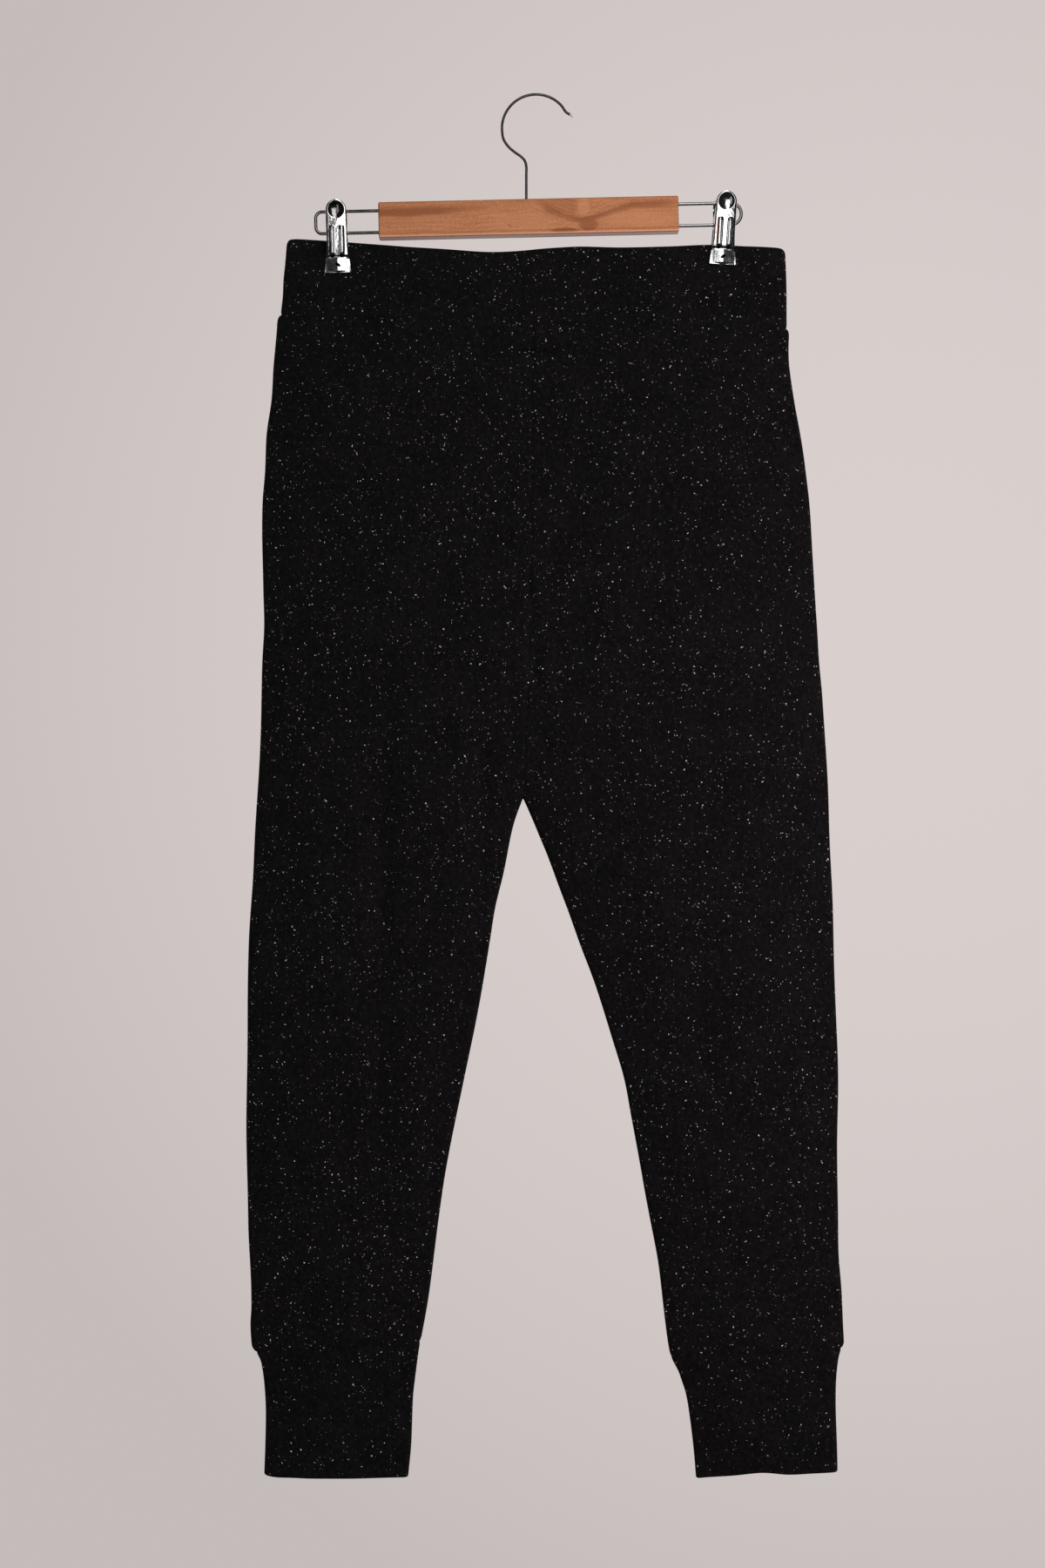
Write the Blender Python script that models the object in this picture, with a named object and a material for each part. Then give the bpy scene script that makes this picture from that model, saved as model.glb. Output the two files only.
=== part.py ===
"""Track pants hanging from a wooden clip hanger.

Metres, +Z up. The origin is the inner crown of the hook, where the hanger hangs. The front of the
garment faces -Y, and left and right are as seen from in front: left is -X.
"""
import math
from collections import namedtuple

import bmesh
import bpy
from mathutils import Matrix, Vector

for old in list(bpy.data.objects):
    bpy.data.objects.remove(old, do_unlink=True)

# Cloth thicknesses
SEAM_GAP = 0.0003
PANEL_WALL = 0.0016
DOUBLE_WALL = 0.0030
FACING_WALL = 0.0012

# Heights of the garment's main lines
WAIST_SEAM = -0.1860
CROTCH = -0.5729

# Edges of the cloth seen from in front, from the waist seam down to the cuff seam
Edge = namedtuple("Edge", "z x")
LEFT_SIDE = [
    Edge(-0.1788, -0.2106), Edge(-0.1916, -0.2114), Edge(-0.2200, -0.2141), Edge(-0.2484, -0.2158),
    Edge(-0.2768, -0.2200), Edge(-0.3052, -0.2214), Edge(-0.3336, -0.2231), Edge(-0.4046, -0.2227),
    Edge(-0.4330, -0.2220), Edge(-0.4614, -0.2234), Edge(-0.5182, -0.2249), Edge(-0.5750, -0.2276),
    Edge(-0.6318, -0.2308), Edge(-0.6886, -0.2342), Edge(-0.7738, -0.2354), Edge(-0.8447, -0.2363),
    Edge(-0.9158, -0.2349), Edge(-0.9584, -0.2328), Edge(-0.9868, -0.2325), Edge(-1.0010, -0.2332),
    Edge(-1.0180, -0.2321), Edge(-1.0238, -0.2310),
]
RIGHT_SIDE = [
    Edge(-0.1902, 0.2068), Edge(-0.2058, 0.2060), Edge(-0.2200, 0.2065), Edge(-0.2484, 0.2106),
    Edge(-0.2768, 0.2154), Edge(-0.3052, 0.2197), Edge(-0.3336, 0.2233), Edge(-0.3762, 0.2254),
    Edge(-0.4330, 0.2290), Edge(-0.4614, 0.2305), Edge(-0.4898, 0.2333), Edge(-0.5466, 0.2369),
    Edge(-0.6034, 0.2396), Edge(-0.6886, 0.2426), Edge(-0.7454, 0.2445), Edge(-0.8022, 0.2466),
    Edge(-0.8590, 0.2456), Edge(-0.9158, 0.2462), Edge(-0.9442, 0.2469), Edge(-0.9726, 0.2491),
    Edge(-1.0010, 0.2503), Edge(-1.0202, 0.2514),
]
LEFT_INSEAM = [
    Edge(CROTCH, -0.0107), Edge(-0.5892, -0.0165), Edge(-0.6034, -0.0202), Edge(-0.6318, -0.0261),
    Edge(-0.6602, -0.0327), Edge(-0.6886, -0.0373), Edge(-0.7454, -0.0474), Edge(-0.8022, -0.0590),
    Edge(-0.8590, -0.0702), Edge(-0.9158, -0.0797), Edge(-0.9726, -0.0864), Edge(-1.0152, -0.0940),
]
RIGHT_INSEAM = [
    Edge(CROTCH, -0.0107), Edge(-0.5892, -0.0033), Edge(-0.6034, 0.0025), Edge(-0.6318, 0.0136),
    Edge(-0.6886, 0.0346), Edge(-0.7170, 0.0452), Edge(-0.7454, 0.0548), Edge(-0.7738, 0.0633),
    Edge(-0.8022, 0.0716), Edge(-0.8306, 0.0771), Edge(-0.8874, 0.0873), Edge(-0.9442, 0.0984),
    Edge(-0.9868, 0.1034), Edge(-1.0273, 0.1090),
]
CENTRE_SEAM = [
    Edge(-0.1200, -0.0030), Edge(-0.3500, -0.0040), Edge(-0.4800, -0.0070), Edge(CROTCH, -0.0107),
]

# Cuffs, top to bottom: the edge on the side seam and the edge on the inseam
CuffRow = namedtuple("CuffRow", "z outer inner")
LEFT_CUFF = [
    CuffRow(-1.0152, -0.2292, -0.0945), CuffRow(-1.0238, -0.2283, -0.0959),
    CuffRow(-1.0308, -0.2247, -0.0969), CuffRow(-1.0436, -0.2224, -0.0986),
    CuffRow(-1.0578, -0.2212, -0.1003), CuffRow(-1.0720, -0.2207, -0.1010),
    CuffRow(-1.1004, -0.2211, -0.1019), CuffRow(-1.1254, -0.2218, -0.1042),
]
RIGHT_CUFF = [
    CuffRow(-1.0202, 0.2489, 0.1095), CuffRow(-1.0265, 0.2469, 0.1094), CuffRow(-1.0308, 0.2461, 0.1110),
    CuffRow(-1.0393, 0.2451, 0.1156), CuffRow(-1.0478, 0.2445, 0.1184), CuffRow(-1.0578, 0.2442, 0.1216),
    CuffRow(-1.0720, 0.2442, 0.1242), CuffRow(-1.1004, 0.2450, 0.1282), CuffRow(-1.1235, 0.2456, 0.1302),
]

# Waistband: its two side edges, its upper edge and its seam, which slopes down to the right
BandRow = namedtuple("BandRow", "z left right")
BAND_EDGES = [
    BandRow(-0.1180, -0.2034, 0.2028), BandRow(-0.1348, -0.2048, 0.2036), BandRow(-0.1490, -0.2062, 0.2043),
    BandRow(-0.1632, -0.2068, 0.2046), BandRow(-0.1788, -0.2084, 0.2046), BandRow(-0.1902, -0.2086, 0.2046),
]
Level = namedtuple("Level", "x z")
BAND_TOP = [
    Level(-0.2050, -0.1240), Level(-0.2030, -0.1196), Level(-0.2000, -0.1177), Level(-0.1917, -0.1175),
    Level(-0.1490, -0.1202), Level(-0.1065, -0.1245), Level(-0.0532, -0.1281), Level(-0.0320, -0.1289),
    Level(-0.0106, -0.1278), Level(0.0320, -0.1246), Level(0.0746, -0.1253), Level(0.1040, -0.1246),
    Level(0.1380, -0.1219), Level(0.1704, -0.1231), Level(0.1950, -0.1245), Level(0.2000, -0.1254),
    Level(0.2024, -0.1270), Level(0.2040, -0.1300),
]
BAND_SEAM = [Level(-0.2110, -0.1788), Level(0.0, WAIST_SEAM), Level(0.2068, -0.1902)]

# How far the cloth stands out from the middle plane, and the radius of its side folds
Swell = namedtuple("Swell", "z front back fold")
SWELL = [
    Swell(-0.1180, 0.0080, 0.0080, 0.0040), Swell(-0.1500, 0.0090, 0.0095, 0.0041),
    Swell(-0.1860, 0.0105, 0.0115, 0.0042), Swell(-0.2000, 0.0122, 0.0135, 0.0048),
    Swell(-0.2500, 0.0128, 0.0150, 0.0050), Swell(-0.3500, 0.0130, 0.0172, 0.0050),
    Swell(-0.4500, 0.0130, 0.0175, 0.0050), Swell(-0.5400, 0.0125, 0.0150, 0.0048),
    Swell(-0.6200, 0.0115, 0.0125, 0.0046), Swell(-0.7200, 0.0105, 0.0110, 0.0045),
    Swell(-0.8200, 0.0096, 0.0100, 0.0045), Swell(-0.9200, 0.0090, 0.0093, 0.0045),
    Swell(-1.0000, 0.0092, 0.0094, 0.0045), Swell(-1.0200, 0.0088, 0.0088, 0.0043),
    Swell(-1.0400, 0.0087, 0.0087, 0.0042), Swell(-1.1260, 0.0084, 0.0084, 0.0042),
]
SWELL_WIDTH = 0.085

# Height over which a body edge turns in to meet the waistband or the cuff, height over which the
# rows follow a sloping seam, and height above the crotch over which the columns even out
SEAM_ROLL = 0.005
SEAM_SPREAD = 0.110
CROTCH_EASE = 0.060

# How far a doubled edge is rounded over, as a share of its thickness
RIM_ROUND = 0.30

# The largest folds: a soft trough (lift below 0) or ridge from one point to another on a face
Fold = namedtuple("Fold", "face x0 z0 x1 z1 width lift")
FOLDS = [
    Fold("front", -0.050, -0.196, 0.038, -0.200, 0.016, -0.0024),
    Fold("front", -0.041, -0.470, -0.041, -0.700, 0.010, -0.0026),
    Fold("front", -0.064, -0.500, -0.060, -0.720, 0.014, 0.0014),
    Fold("front", -0.124, -0.390, -0.134, -0.900, 0.018, -0.0018),
    Fold("front", -0.100, -0.170, -0.032, -0.290, 0.020, -0.0014),
    Fold("front", 0.060, -0.252, 0.160, -0.254, 0.010, -0.0013),
    Fold("front", 0.172, -0.610, 0.226, -0.582, 0.012, -0.0013),
    Fold("front", 0.120, -0.700, 0.168, -0.960, 0.020, -0.0015),
    Fold("back", 0.000, -0.200, 0.070, -0.206, 0.018, -0.0024),
    Fold("back", -0.052, -0.440, -0.060, -0.690, 0.014, -0.0028),
    Fold("back", 0.042, -0.430, 0.076, -0.680, 0.016, -0.0026),
    Fold("back", -0.150, -0.420, -0.150, -0.860, 0.020, -0.0018),
    Fold("back", 0.160, -0.620, 0.184, -0.930, 0.020, -0.0016),
    Fold("back", -0.110, -0.180, -0.060, -0.280, 0.020, -0.0015),
    Fold("back", 0.110, -0.175, 0.066, -0.270, 0.020, -0.0015),
]

# Side-seam pockets: the mouth opens a little in front of the side seam
MOUTH_TOP = -0.2050
MOUTH_BOTTOM = -0.3300
MOUTH_GAPE = 0.0024
FACING_MARGIN = 0.010

# Hanger bar, which hangs with its left end slightly low
BAR_CENTRE = (-0.0062, 0.0, -0.0999)
BAR_SIZE = (0.2442, 0.0120, 0.0291)
BAR_ROUND = 0.0012
BAR_TILT = math.radians(-1.25)

# Wire loops, in the bar's own frame
WIRE_RADIUS = 0.0014
WIRE_UPPER = 0.0088
WIRE_LOWER = -0.0089
WIRE_END = 0.1735
WIRE_BURIED = 0.0380
BORE_CLEARANCE = 0.0003
NOTCH_CLEARANCE = 0.0009

# Hook: a round crown, then a bend into the straight shank
HOOK_RADIUS = 0.0011
CROWN_CENTRE_Z = -0.0268
CROWN_RADIUS = 0.0279
CROWN_START = math.radians(45.0)
CROWN_END = math.radians(200.0)
HookPoint = namedtuple("HookPoint", "x z")
HOOK_TIP = [HookPoint(0.0296, -0.0164), HookPoint(0.0266, -0.0148), HookPoint(0.0239, -0.0128)]
HOOK_NECK = [
    HookPoint(-0.0216, -0.0415), HookPoint(-0.0164, -0.0462), HookPoint(-0.0118, -0.0498),
    HookPoint(-0.0091, -0.0532),
]
SHANK_TOP = HookPoint(-0.0079, -0.0580)
SHANK_END = HookPoint(-0.0080, -0.1030)
SHANK_EASE = 0.006
TIP_BALL = [1.125, 1.5, 1.2]

# Clips: pressed steel leaves, in a frame with its origin on the lower wire
Clip = namedtuple("Clip", "side x lean wire_corner")
CLIPS = [
    Clip("left", -0.1564, math.radians(-1.9), 0.0052),
    Clip("right", 0.1592, math.radians(3.0), 0.0086),
]
LEAF_WALL = 0.0009
JAW_CLOTH = DOUBLE_WALL + SEAM_GAP / 2
JAW_REACH = 0.0330
PINCH_FLAT = 0.0135
PINCH_FADE = 0.0400
PINCH_DROP = 0.0900

# Leaf sections from the jaw up to the finger tab: half width, distance of the inner face from the
# middle plane, length of the side lip, how far the lip is folded back (1 is square), rib height
LeafRow = namedtuple("LeafRow", "z half stand lip turn rib dish")
LEAF = [
    LeafRow(-0.0330, 0.0099, JAW_CLOTH + SEAM_GAP, 0.0010, 0.0, 0.0, 0.0),
    LeafRow(-0.0222, 0.0094, JAW_CLOTH + SEAM_GAP, 0.0010, 0.0, 0.0, 0.0),
    LeafRow(-0.0200, 0.0089, 0.0044, 0.0010, 0.5, 0.0, 0.0),
    LeafRow(-0.0186, 0.0086, 0.0050, 0.0010, 1.0, 0.0011, 0.0),
    LeafRow(-0.0120, 0.0080, 0.0057, 0.0018, 1.0, 0.0012, 0.0),
    LeafRow(-0.0056, 0.0077, 0.0063, 0.0024, 1.0, 0.0012, 0.0),
    LeafRow(-0.0040, 0.0077, 0.0065, 0.00635, 1.0, 0.0012, 0.0),
    LeafRow(0.0016, 0.0077, 0.0071, 0.00695, 1.0, 0.0010, 0.0),
    LeafRow(0.0048, 0.0077, 0.0075, 0.0070, 1.0, 0.0, 0.0),
    LeafRow(0.0090, 0.0077, 0.0081, 0.0024, 1.0, 0.0, 0.0),
    LeafRow(0.0135, 0.0076, 0.0089, 0.0012, 0.9, 0.0, 0.0006),
    LeafRow(0.0178, 0.0078, 0.0097, 0.0008, 0.7, 0.0, 0.0020),
    LeafRow(0.0210, 0.0069, 0.0103, 0.0008, 0.7, 0.0, 0.0012),
    LeafRow(0.0237, 0.0046, 0.0108, 0.0008, 0.7, 0.0, 0.0),
    LeafRow(0.0252, 0.0014, 0.0111, 0.0006, 0.7, 0.0, 0.0),
]
RIB_COLUMN = 0.50
LEAF_COLUMNS = [-1.0, -0.74, -RIB_COLUMN, -0.28, 0.0, 0.28, RIB_COLUMN, 0.74, 1.0]
DISH_WIDTH = 0.86

SPRING_RADIUS = 0.0032
SPRING_LENGTH = 0.0130

# Rows of the panels: distances from a seam, shares of the pocket mouth and of the body below it,
# distances above and below the crotch, and the number down the leg
SEAM_ROWS = [0.0, 0.0008, 0.0030, 0.0120]
MOUTH_ROWS = [0.0, 0.12, 0.5, 0.88, 1.0]
BODY_ROWS = [0.05, 0.25, 0.45, 0.65, 0.83]
CROTCH_ROWS = [0.0400, 0.0170, 0.0052, 0.0014, 0.0, -0.0080, -0.0230]
LEG_ROWS = 10

# Rows of the waistband and cuffs, as shares of their height, and the waistband's columns near a clip
BAND_ROWS = [0.0, 0.22, 0.44, 0.66, 0.86, 0.975, 1.0]
CUFF_ROWS = [0.0, 0.06, 0.16, 0.32, 0.55, 0.80, 0.985, 1.0]
CLIP_COLUMNS = [-0.0295, -PINCH_FLAT, 0.0, PINCH_FLAT, 0.0275, 0.0435]

# Other mesh density
ARC_STEPS = 3
PANEL_FLATS = 5
BAND_FLATS = 8
CUFF_FLATS = 4
FACING_COLUMNS = 4
CROWN_STEPS = 7
CORNER_STEPS = 6
ROUTE_STEPS = 3
WIRE_SIDES = 2
BORE_SIDES = 16
CUTTER_OVERSHOOT = 0.010
SHARP_ANGLE = math.radians(40)


def smooth(t):
    t = min(max(t, 0.0), 1.0)
    return t * t * (3.0 - 2.0 * t)


def mix(a, b, t):
    return a + (b - a) * t


def read(table, key, value, at):
    """Value of a table's column where its key column is `at`, on a smooth curve through the rows."""
    rows = sorted(table, key=lambda row: getattr(row, key))
    keys = [getattr(row, key) for row in rows]
    values = [getattr(row, value) for row in rows]
    if at <= keys[0]:
        return values[0]
    if at >= keys[-1]:
        return values[-1]
    i = max(k for k in range(len(keys) - 1) if keys[k] <= at)
    span = keys[i + 1] - keys[i]
    t = (at - keys[i]) / span
    chord = (values[i + 1] - values[i]) / span
    before = chord
    after = chord
    if i > 0:
        before = (values[i + 1] - values[i - 1]) / (keys[i + 1] - keys[i - 1])
    if i + 2 < len(keys):
        after = (values[i + 2] - values[i]) / (keys[i + 2] - keys[i])
    ease_in = t * (1 - t) ** 2
    ease_out = t * t * (t - 1)
    return mix(values[i], values[i + 1], smooth(t)) + span * (before * ease_in + after * ease_out)


def fold_relief(face, x, z):
    """Sum of the folds of one face at a point."""
    total = 0.0
    for fold in FOLDS:
        if fold.face != face:
            continue
        run = Vector((fold.x1 - fold.x0, fold.z1 - fold.z0))
        away = Vector((x - fold.x0, z - fold.z0))
        along = min(max(away.dot(run) / run.length_squared, 0.0), 1.0)
        distance = (away - run * along).length
        total += fold.lift * math.exp(-(distance / fold.width) ** 2)
    return total


def edge_arc(distance, fold):
    """Roundness of the cloth near a side fold: 0 on the fold, 1 from its radius inwards."""
    return math.sqrt(1.0 - (1.0 - min(distance / fold, 1.0)) ** 2)


def edge_swell(distance, fold):
    """Rise of the cloth away from a side fold: 0 at its radius, 1 at the full swell width."""
    t = min(max((distance - fold) / SWELL_WIDTH, 0.0), 1.0)
    return t * (2.0 - t)


def clip_centre(clip):
    """The point of the lower wire where a clip sits, in world coordinates."""
    turn = Matrix.Rotation(BAR_TILT, 4, "Y")
    return Vector(BAR_CENTRE) + turn @ Vector((clip.x, 0.0, WIRE_LOWER))


def pinch(x, z):
    """How far the clips press the cloth together at a point: 1 under a jaw, 0 away from it."""
    total = 0.0
    for clip in CLIPS:
        pivot = clip_centre(clip)
        beside = abs(x - pivot.x) - PINCH_FLAT
        below = pivot.z - JAW_REACH - z
        total += (1.0 - smooth(beside / PINCH_FADE)) * (1.0 - smooth(below / PINCH_DROP))
    return min(total, 1.0)


def stand_out(face, x, z, near, far):
    """Distance of the outer surface from the middle plane.

    near and far are the distances to the cloth's two edges at this height.
    """
    fold = read(SWELL, "z", "fold", z)
    full = read(SWELL, "z", face, z)
    arcs = edge_arc(near, fold) * edge_arc(far, fold)
    swell = edge_swell(near, fold) * edge_swell(far, fold)
    depth = arcs * (fold + (full - fold) * swell)
    depth += fold_relief(face, x, z) * swell
    return mix(depth, JAW_CLOTH, pinch(x, z) * arcs)


def arc_angles(start=0.0):
    return [mix(start, math.pi / 2, step / ARC_STEPS) for step in range(ARC_STEPS + 1)]


def grow_inward(outer, wall, across_start, across_end, fixed=None):
    """Inner points of a wall: every outer point moved in along the surface's normal.

    across_start and across_end give the direction across the wall at its first and last column,
    and fixed holds normals that are known.
    """
    rows = len(outer)
    cols = len(outer[0])
    normals = []
    for i in range(rows):
        line = []
        for j in range(cols):
            if 0 < j < cols - 1:
                across = outer[i][j + 1] - outer[i][j - 1]
            else:
                across = across_start(i) if j == 0 else across_end(i)
            down = Vector((0.0, 0.0, outer[1][0].z - outer[0][0].z))
            if 0 < i < rows - 1:
                down = outer[i + 1][j] - outer[i - 1][j]
            line.append(across.cross(down).normalized())
        normals.append(line)
    i = rows // 2
    proud = max(range(1, cols - 1), key=lambda j: abs(outer[i][j].y))
    sign = 1.0 if normals[i][proud].y * outer[i][proud].y > 0 else -1.0
    inner = []
    for i in range(rows):
        line = []
        for j in range(cols):
            normal = normals[i][j] * sign
            if fixed and (i, j) in fixed:
                normal = fixed[(i, j)]
            line.append(outer[i][j] - normal * wall)
        inner.append(line)
    return inner


def closed_wall(name, outer, inner, material, ring=False):
    """A closed solid between two grids of points."""
    rows = len(outer)
    cols = len(outer[0])
    shape = bmesh.new()
    skins = [[[shape.verts.new(p) for p in line] for line in skin] for skin in (outer, inner)]
    last = cols if ring else cols - 1
    for i in range(rows - 1):
        for j in range(last):
            k = (j + 1) % cols
            for skin in skins:
                shape.faces.new((skin[i][j], skin[i][k], skin[i + 1][k], skin[i + 1][j]))
    for j in range(last):
        k = (j + 1) % cols
        for i in (0, rows - 1):
            shape.faces.new((skins[0][i][j], skins[0][i][k], skins[1][i][k], skins[1][i][j]))
    if not ring:
        for i in range(rows - 1):
            for j in (0, cols - 1):
                shape.faces.new((skins[0][i][j], skins[0][i + 1][j], skins[1][i + 1][j], skins[1][i][j]))
    return add_object(name, shape, material)


def add_object(name, shape, material):
    """A closed shape as an object, with its faces turned outwards."""
    bmesh.ops.recalc_face_normals(shape, faces=shape.faces[:])
    if shape.calc_volume(signed=True) < 0:
        bmesh.ops.reverse_faces(shape, faces=shape.faces[:])
    mesh = bpy.data.meshes.new(name)
    shape.to_mesh(mesh)
    shape.free()
    mesh.shade_smooth()
    mesh.set_sharp_from_angle(angle=SHARP_ANGLE)
    mesh.materials.append(material)
    thing = bpy.data.objects.new(name, mesh)
    bpy.context.scene.collection.objects.link(thing)
    return thing


def finish(name, color, metallic, roughness):
    """A plain material."""
    material = bpy.data.materials.new(name)
    material.use_nodes = True
    surface = material.node_tree.nodes["Principled BSDF"]
    surface.inputs["Base Color"].default_value = (*color, 1.0)
    surface.inputs["Metallic"].default_value = metallic
    surface.inputs["Roughness"].default_value = roughness
    return material


# Cloth panels

Half = namedtuple("Half", "name inward side inseam cuff")
HALVES = [
    Half("left", 1.0, LEFT_SIDE, LEFT_INSEAM, LEFT_CUFF),
    Half("right", -1.0, RIGHT_SIDE, RIGHT_INSEAM, RIGHT_CUFF),
]
FACES = {"front": -1.0, "back": 1.0}


def cuff_seam(half, x):
    """Height of the cuff seam, which runs straight from the side seam to the inseam."""
    side = half.side[-1]
    inner = half.inseam[-1]
    t = (x - side.x) / (inner.x - side.x)
    return mix(side.z, inner.z, min(max(t, 0.0), 1.0))


def cuff_middle(half):
    return (half.side[-1].z + half.inseam[-1].z) / 2


def side_edge(half, z):
    """Side edge of a body half, turned in to meet the waistband and the cuff at their seams."""
    x = read(half.side, "z", "x", z)
    band = read(BAND_EDGES, "z", half.name, z)
    cuff = read(half.cuff, "z", "outer", z)
    seam = read(BAND_SEAM, "x", "z", x)
    x = mix(band, x, math.sqrt(min(max((seam - z) / SEAM_ROLL, 0.0), 1.0)))
    return mix(cuff, x, math.sqrt(min(max((z - half.side[-1].z) / SEAM_ROLL, 0.0), 1.0)))


def inner_edge(half, z):
    """Inner edge of a body half: the centre seam above the crotch and the inseam below it."""
    if z >= CROTCH:
        return read(CENTRE_SEAM, "z", "x", z) - half.inward * SEAM_GAP / 2
    x = read(half.inseam, "z", "x", z)
    cuff = read(half.cuff, "z", "inner", z)
    return mix(cuff, x, math.sqrt(min(max((z - half.inseam[-1].z) / SEAM_ROLL, 0.0), 1.0)))


def row_height(half, level, x):
    """Height of a row at x: level in the middle of the panel, along the seams at its two ends."""
    waist = read(BAND_SEAM, "x", "z", x) - WAIST_SEAM
    cuff = cuff_seam(half, x) - cuff_middle(half)
    near_waist = 1.0 - smooth((WAIST_SEAM - level) / SEAM_SPREAD)
    near_cuff = 1.0 - smooth((level - cuff_middle(half)) / SEAM_SPREAD)
    return level + waist * near_waist + cuff * near_cuff


def panel_levels(half):
    """Row levels from the waist seam to the cuff seam, closer at the seams and the crotch."""
    top = WAIST_SEAM - SEAM_GAP / 2
    bottom = cuff_middle(half) + SEAM_GAP / 2
    levels = [top - drop for drop in SEAM_ROWS]
    levels += [mix(MOUTH_TOP, MOUTH_BOTTOM, share) for share in MOUTH_ROWS]
    levels += [mix(MOUTH_BOTTOM, CROTCH + CROTCH_ROWS[0], share) for share in BODY_ROWS]
    levels += [CROTCH + rise for rise in CROTCH_ROWS]
    start = CROTCH + CROTCH_ROWS[-1]
    stop = bottom + SEAM_ROWS[-1]
    levels += [mix(start, stop, k / LEG_ROWS) for k in range(1, LEG_ROWS)]
    levels += [bottom + rise for rise in reversed(SEAM_ROWS)]
    return levels


def mouth_angle(level, fold):
    """Angle from the side seam at which the front panel starts, wider at the pocket mouth."""
    t = (level - MOUTH_BOTTOM) / (MOUTH_TOP - MOUTH_BOTTOM)
    if not 0.0 < t < 1.0:
        return 0.0
    return MOUTH_GAPE * math.sqrt(math.sin(math.pi * t)) / fold


def panel_grid(half, face, levels):
    """Outer points of one panel, a row for each level, from the side seam inwards."""
    out = FACES[face]
    grid = []
    for level in levels:
        side_z = row_height(half, level, side_edge(half, level))
        inner_z = row_height(half, level, inner_edge(half, level))
        side_x = side_edge(half, side_z)
        inner_x = inner_edge(half, inner_z)
        width = abs(inner_x - side_x)
        fold = read(SWELL, "z", "fold", level)
        start = mouth_angle(level, fold) if face == "front" else 0.0
        arcs = [fold * (1.0 - math.cos(angle)) for angle in arc_angles(start)]
        tail = [fold * (1.0 - math.cos(angle)) for angle in reversed(arc_angles())]
        flats = [mix(fold, width - fold, k / (PANEL_FLATS + 1)) for k in range(1, PANEL_FLATS + 1)]
        places = arcs + flats + [width - t for t in tail]
        rise = level - CROTCH
        if rise > 0:
            spaces = PANEL_FLATS + 1 + ARC_STEPS
            even = [mix(fold, width, k / spaces) for k in range(1, spaces + 1)]
            ease = smooth(rise / CROTCH_EASE)
            places = arcs + [mix(a, b, ease) for a, b in zip(places[ARC_STEPS + 1:], even)]
        line = []
        for place in places:
            x = side_x + half.inward * place
            z = row_height(half, level, x)
            far = width - place
            if rise > 0:
                far = math.hypot(far, rise)
            depth = stand_out(face, x, z, place, far)
            line.append(Vector((x, out * max(depth, SEAM_GAP / 2), z)))
        grid.append(line)
    return grid


def panel_skins(half, face):
    """Outer and inner points of one panel."""
    levels = panel_levels(half)
    outer = panel_grid(half, face, levels)
    crotch_row = levels.index(CROTCH)
    out = FACES[face]
    last = len(outer[0]) - 1

    def across_start(i):
        return Vector((0.0, out, 0.0))

    def across_end(i):
        if i < crotch_row:
            return Vector((half.inward, 0.0, 0.0))
        return Vector((0.0, -out, 0.0))

    fixed = {(crotch_row, last): Vector((0.0, 0.0, -1.0))}
    inner = grow_inward(outer, PANEL_WALL, across_start, across_end, fixed)
    return outer, inner


# Waistband

def band_columns():
    """Places across the waistband, closer beside the clips so that the jaws lie on flat cloth."""
    fold = SWELL[0].fold
    left_clip, right_clip = [clip_centre(clip).x for clip in CLIPS]
    places = [BAND_EDGES[0].left + fold, BAND_EDGES[0].right - fold]
    places += [left_clip + offset for offset in CLIP_COLUMNS]
    places += [right_clip + offset for offset in CLIP_COLUMNS]
    start = left_clip + CLIP_COLUMNS[-1]
    stop = right_clip + CLIP_COLUMNS[0]
    places += [mix(start, stop, k / (BAND_FLATS + 1)) for k in range(1, BAND_FLATS + 1)]
    return sorted(places)


def band_height(x, share):
    """Height in the waistband at x: its seam at share 0, its upper edge at share 1."""
    seam = read(BAND_SEAM, "x", "z", x) + SEAM_GAP / 2
    return mix(seam, read(BAND_TOP, "x", "z", x), share)


def band_grid(face):
    """Outer points of one face of the waistband, a row for each height, from left to right."""
    out = FACES[face]
    arcs = arc_angles()[:-1]
    grid = []
    for share in BAND_ROWS:
        ends = []
        for side, inward in (("left", 1.0), ("right", -1.0)):
            rough = band_height(getattr(BAND_EDGES[0], side), share)
            edge = read(BAND_EDGES, "z", side, rough)
            fold = read(SWELL, "z", "fold", rough)
            ends.append([edge + inward * fold * (1.0 - math.cos(angle)) for angle in arcs])
        line = []
        for x in [*ends[0], *band_columns(), *reversed(ends[1])]:
            z = band_height(x, share)
            left = read(BAND_EDGES, "z", "left", z)
            right = read(BAND_EDGES, "z", "right", z)
            depth = stand_out(face, x, z, max(x - left, 0.0), max(right - x, 0.0))
            line.append(Vector((x, out * max(depth, SEAM_GAP / 2), z)))
        grid.append(line)
    return grid


def rounded_rim(outer, inner, rim):
    """Brings the two skins together at one end row, as the folded edge of doubled cloth."""
    for j, (a, b) in enumerate(zip(outer[rim], inner[rim])):
        outer[rim][j] = a.lerp(b, RIM_ROUND)
        inner[rim][j] = b.lerp(a, RIM_ROUND)


def build_band(face, material):
    outer = band_grid(face)
    out = FACES[face]
    inner = grow_inward(
        outer, DOUBLE_WALL,
        lambda i: Vector((0.0, out, 0.0)), lambda i: Vector((0.0, -out, 0.0)),
    )
    rounded_rim(outer, inner, len(outer) - 1)
    return closed_wall(f"waistband_{face}", outer, inner, material)


# Cuffs

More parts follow.
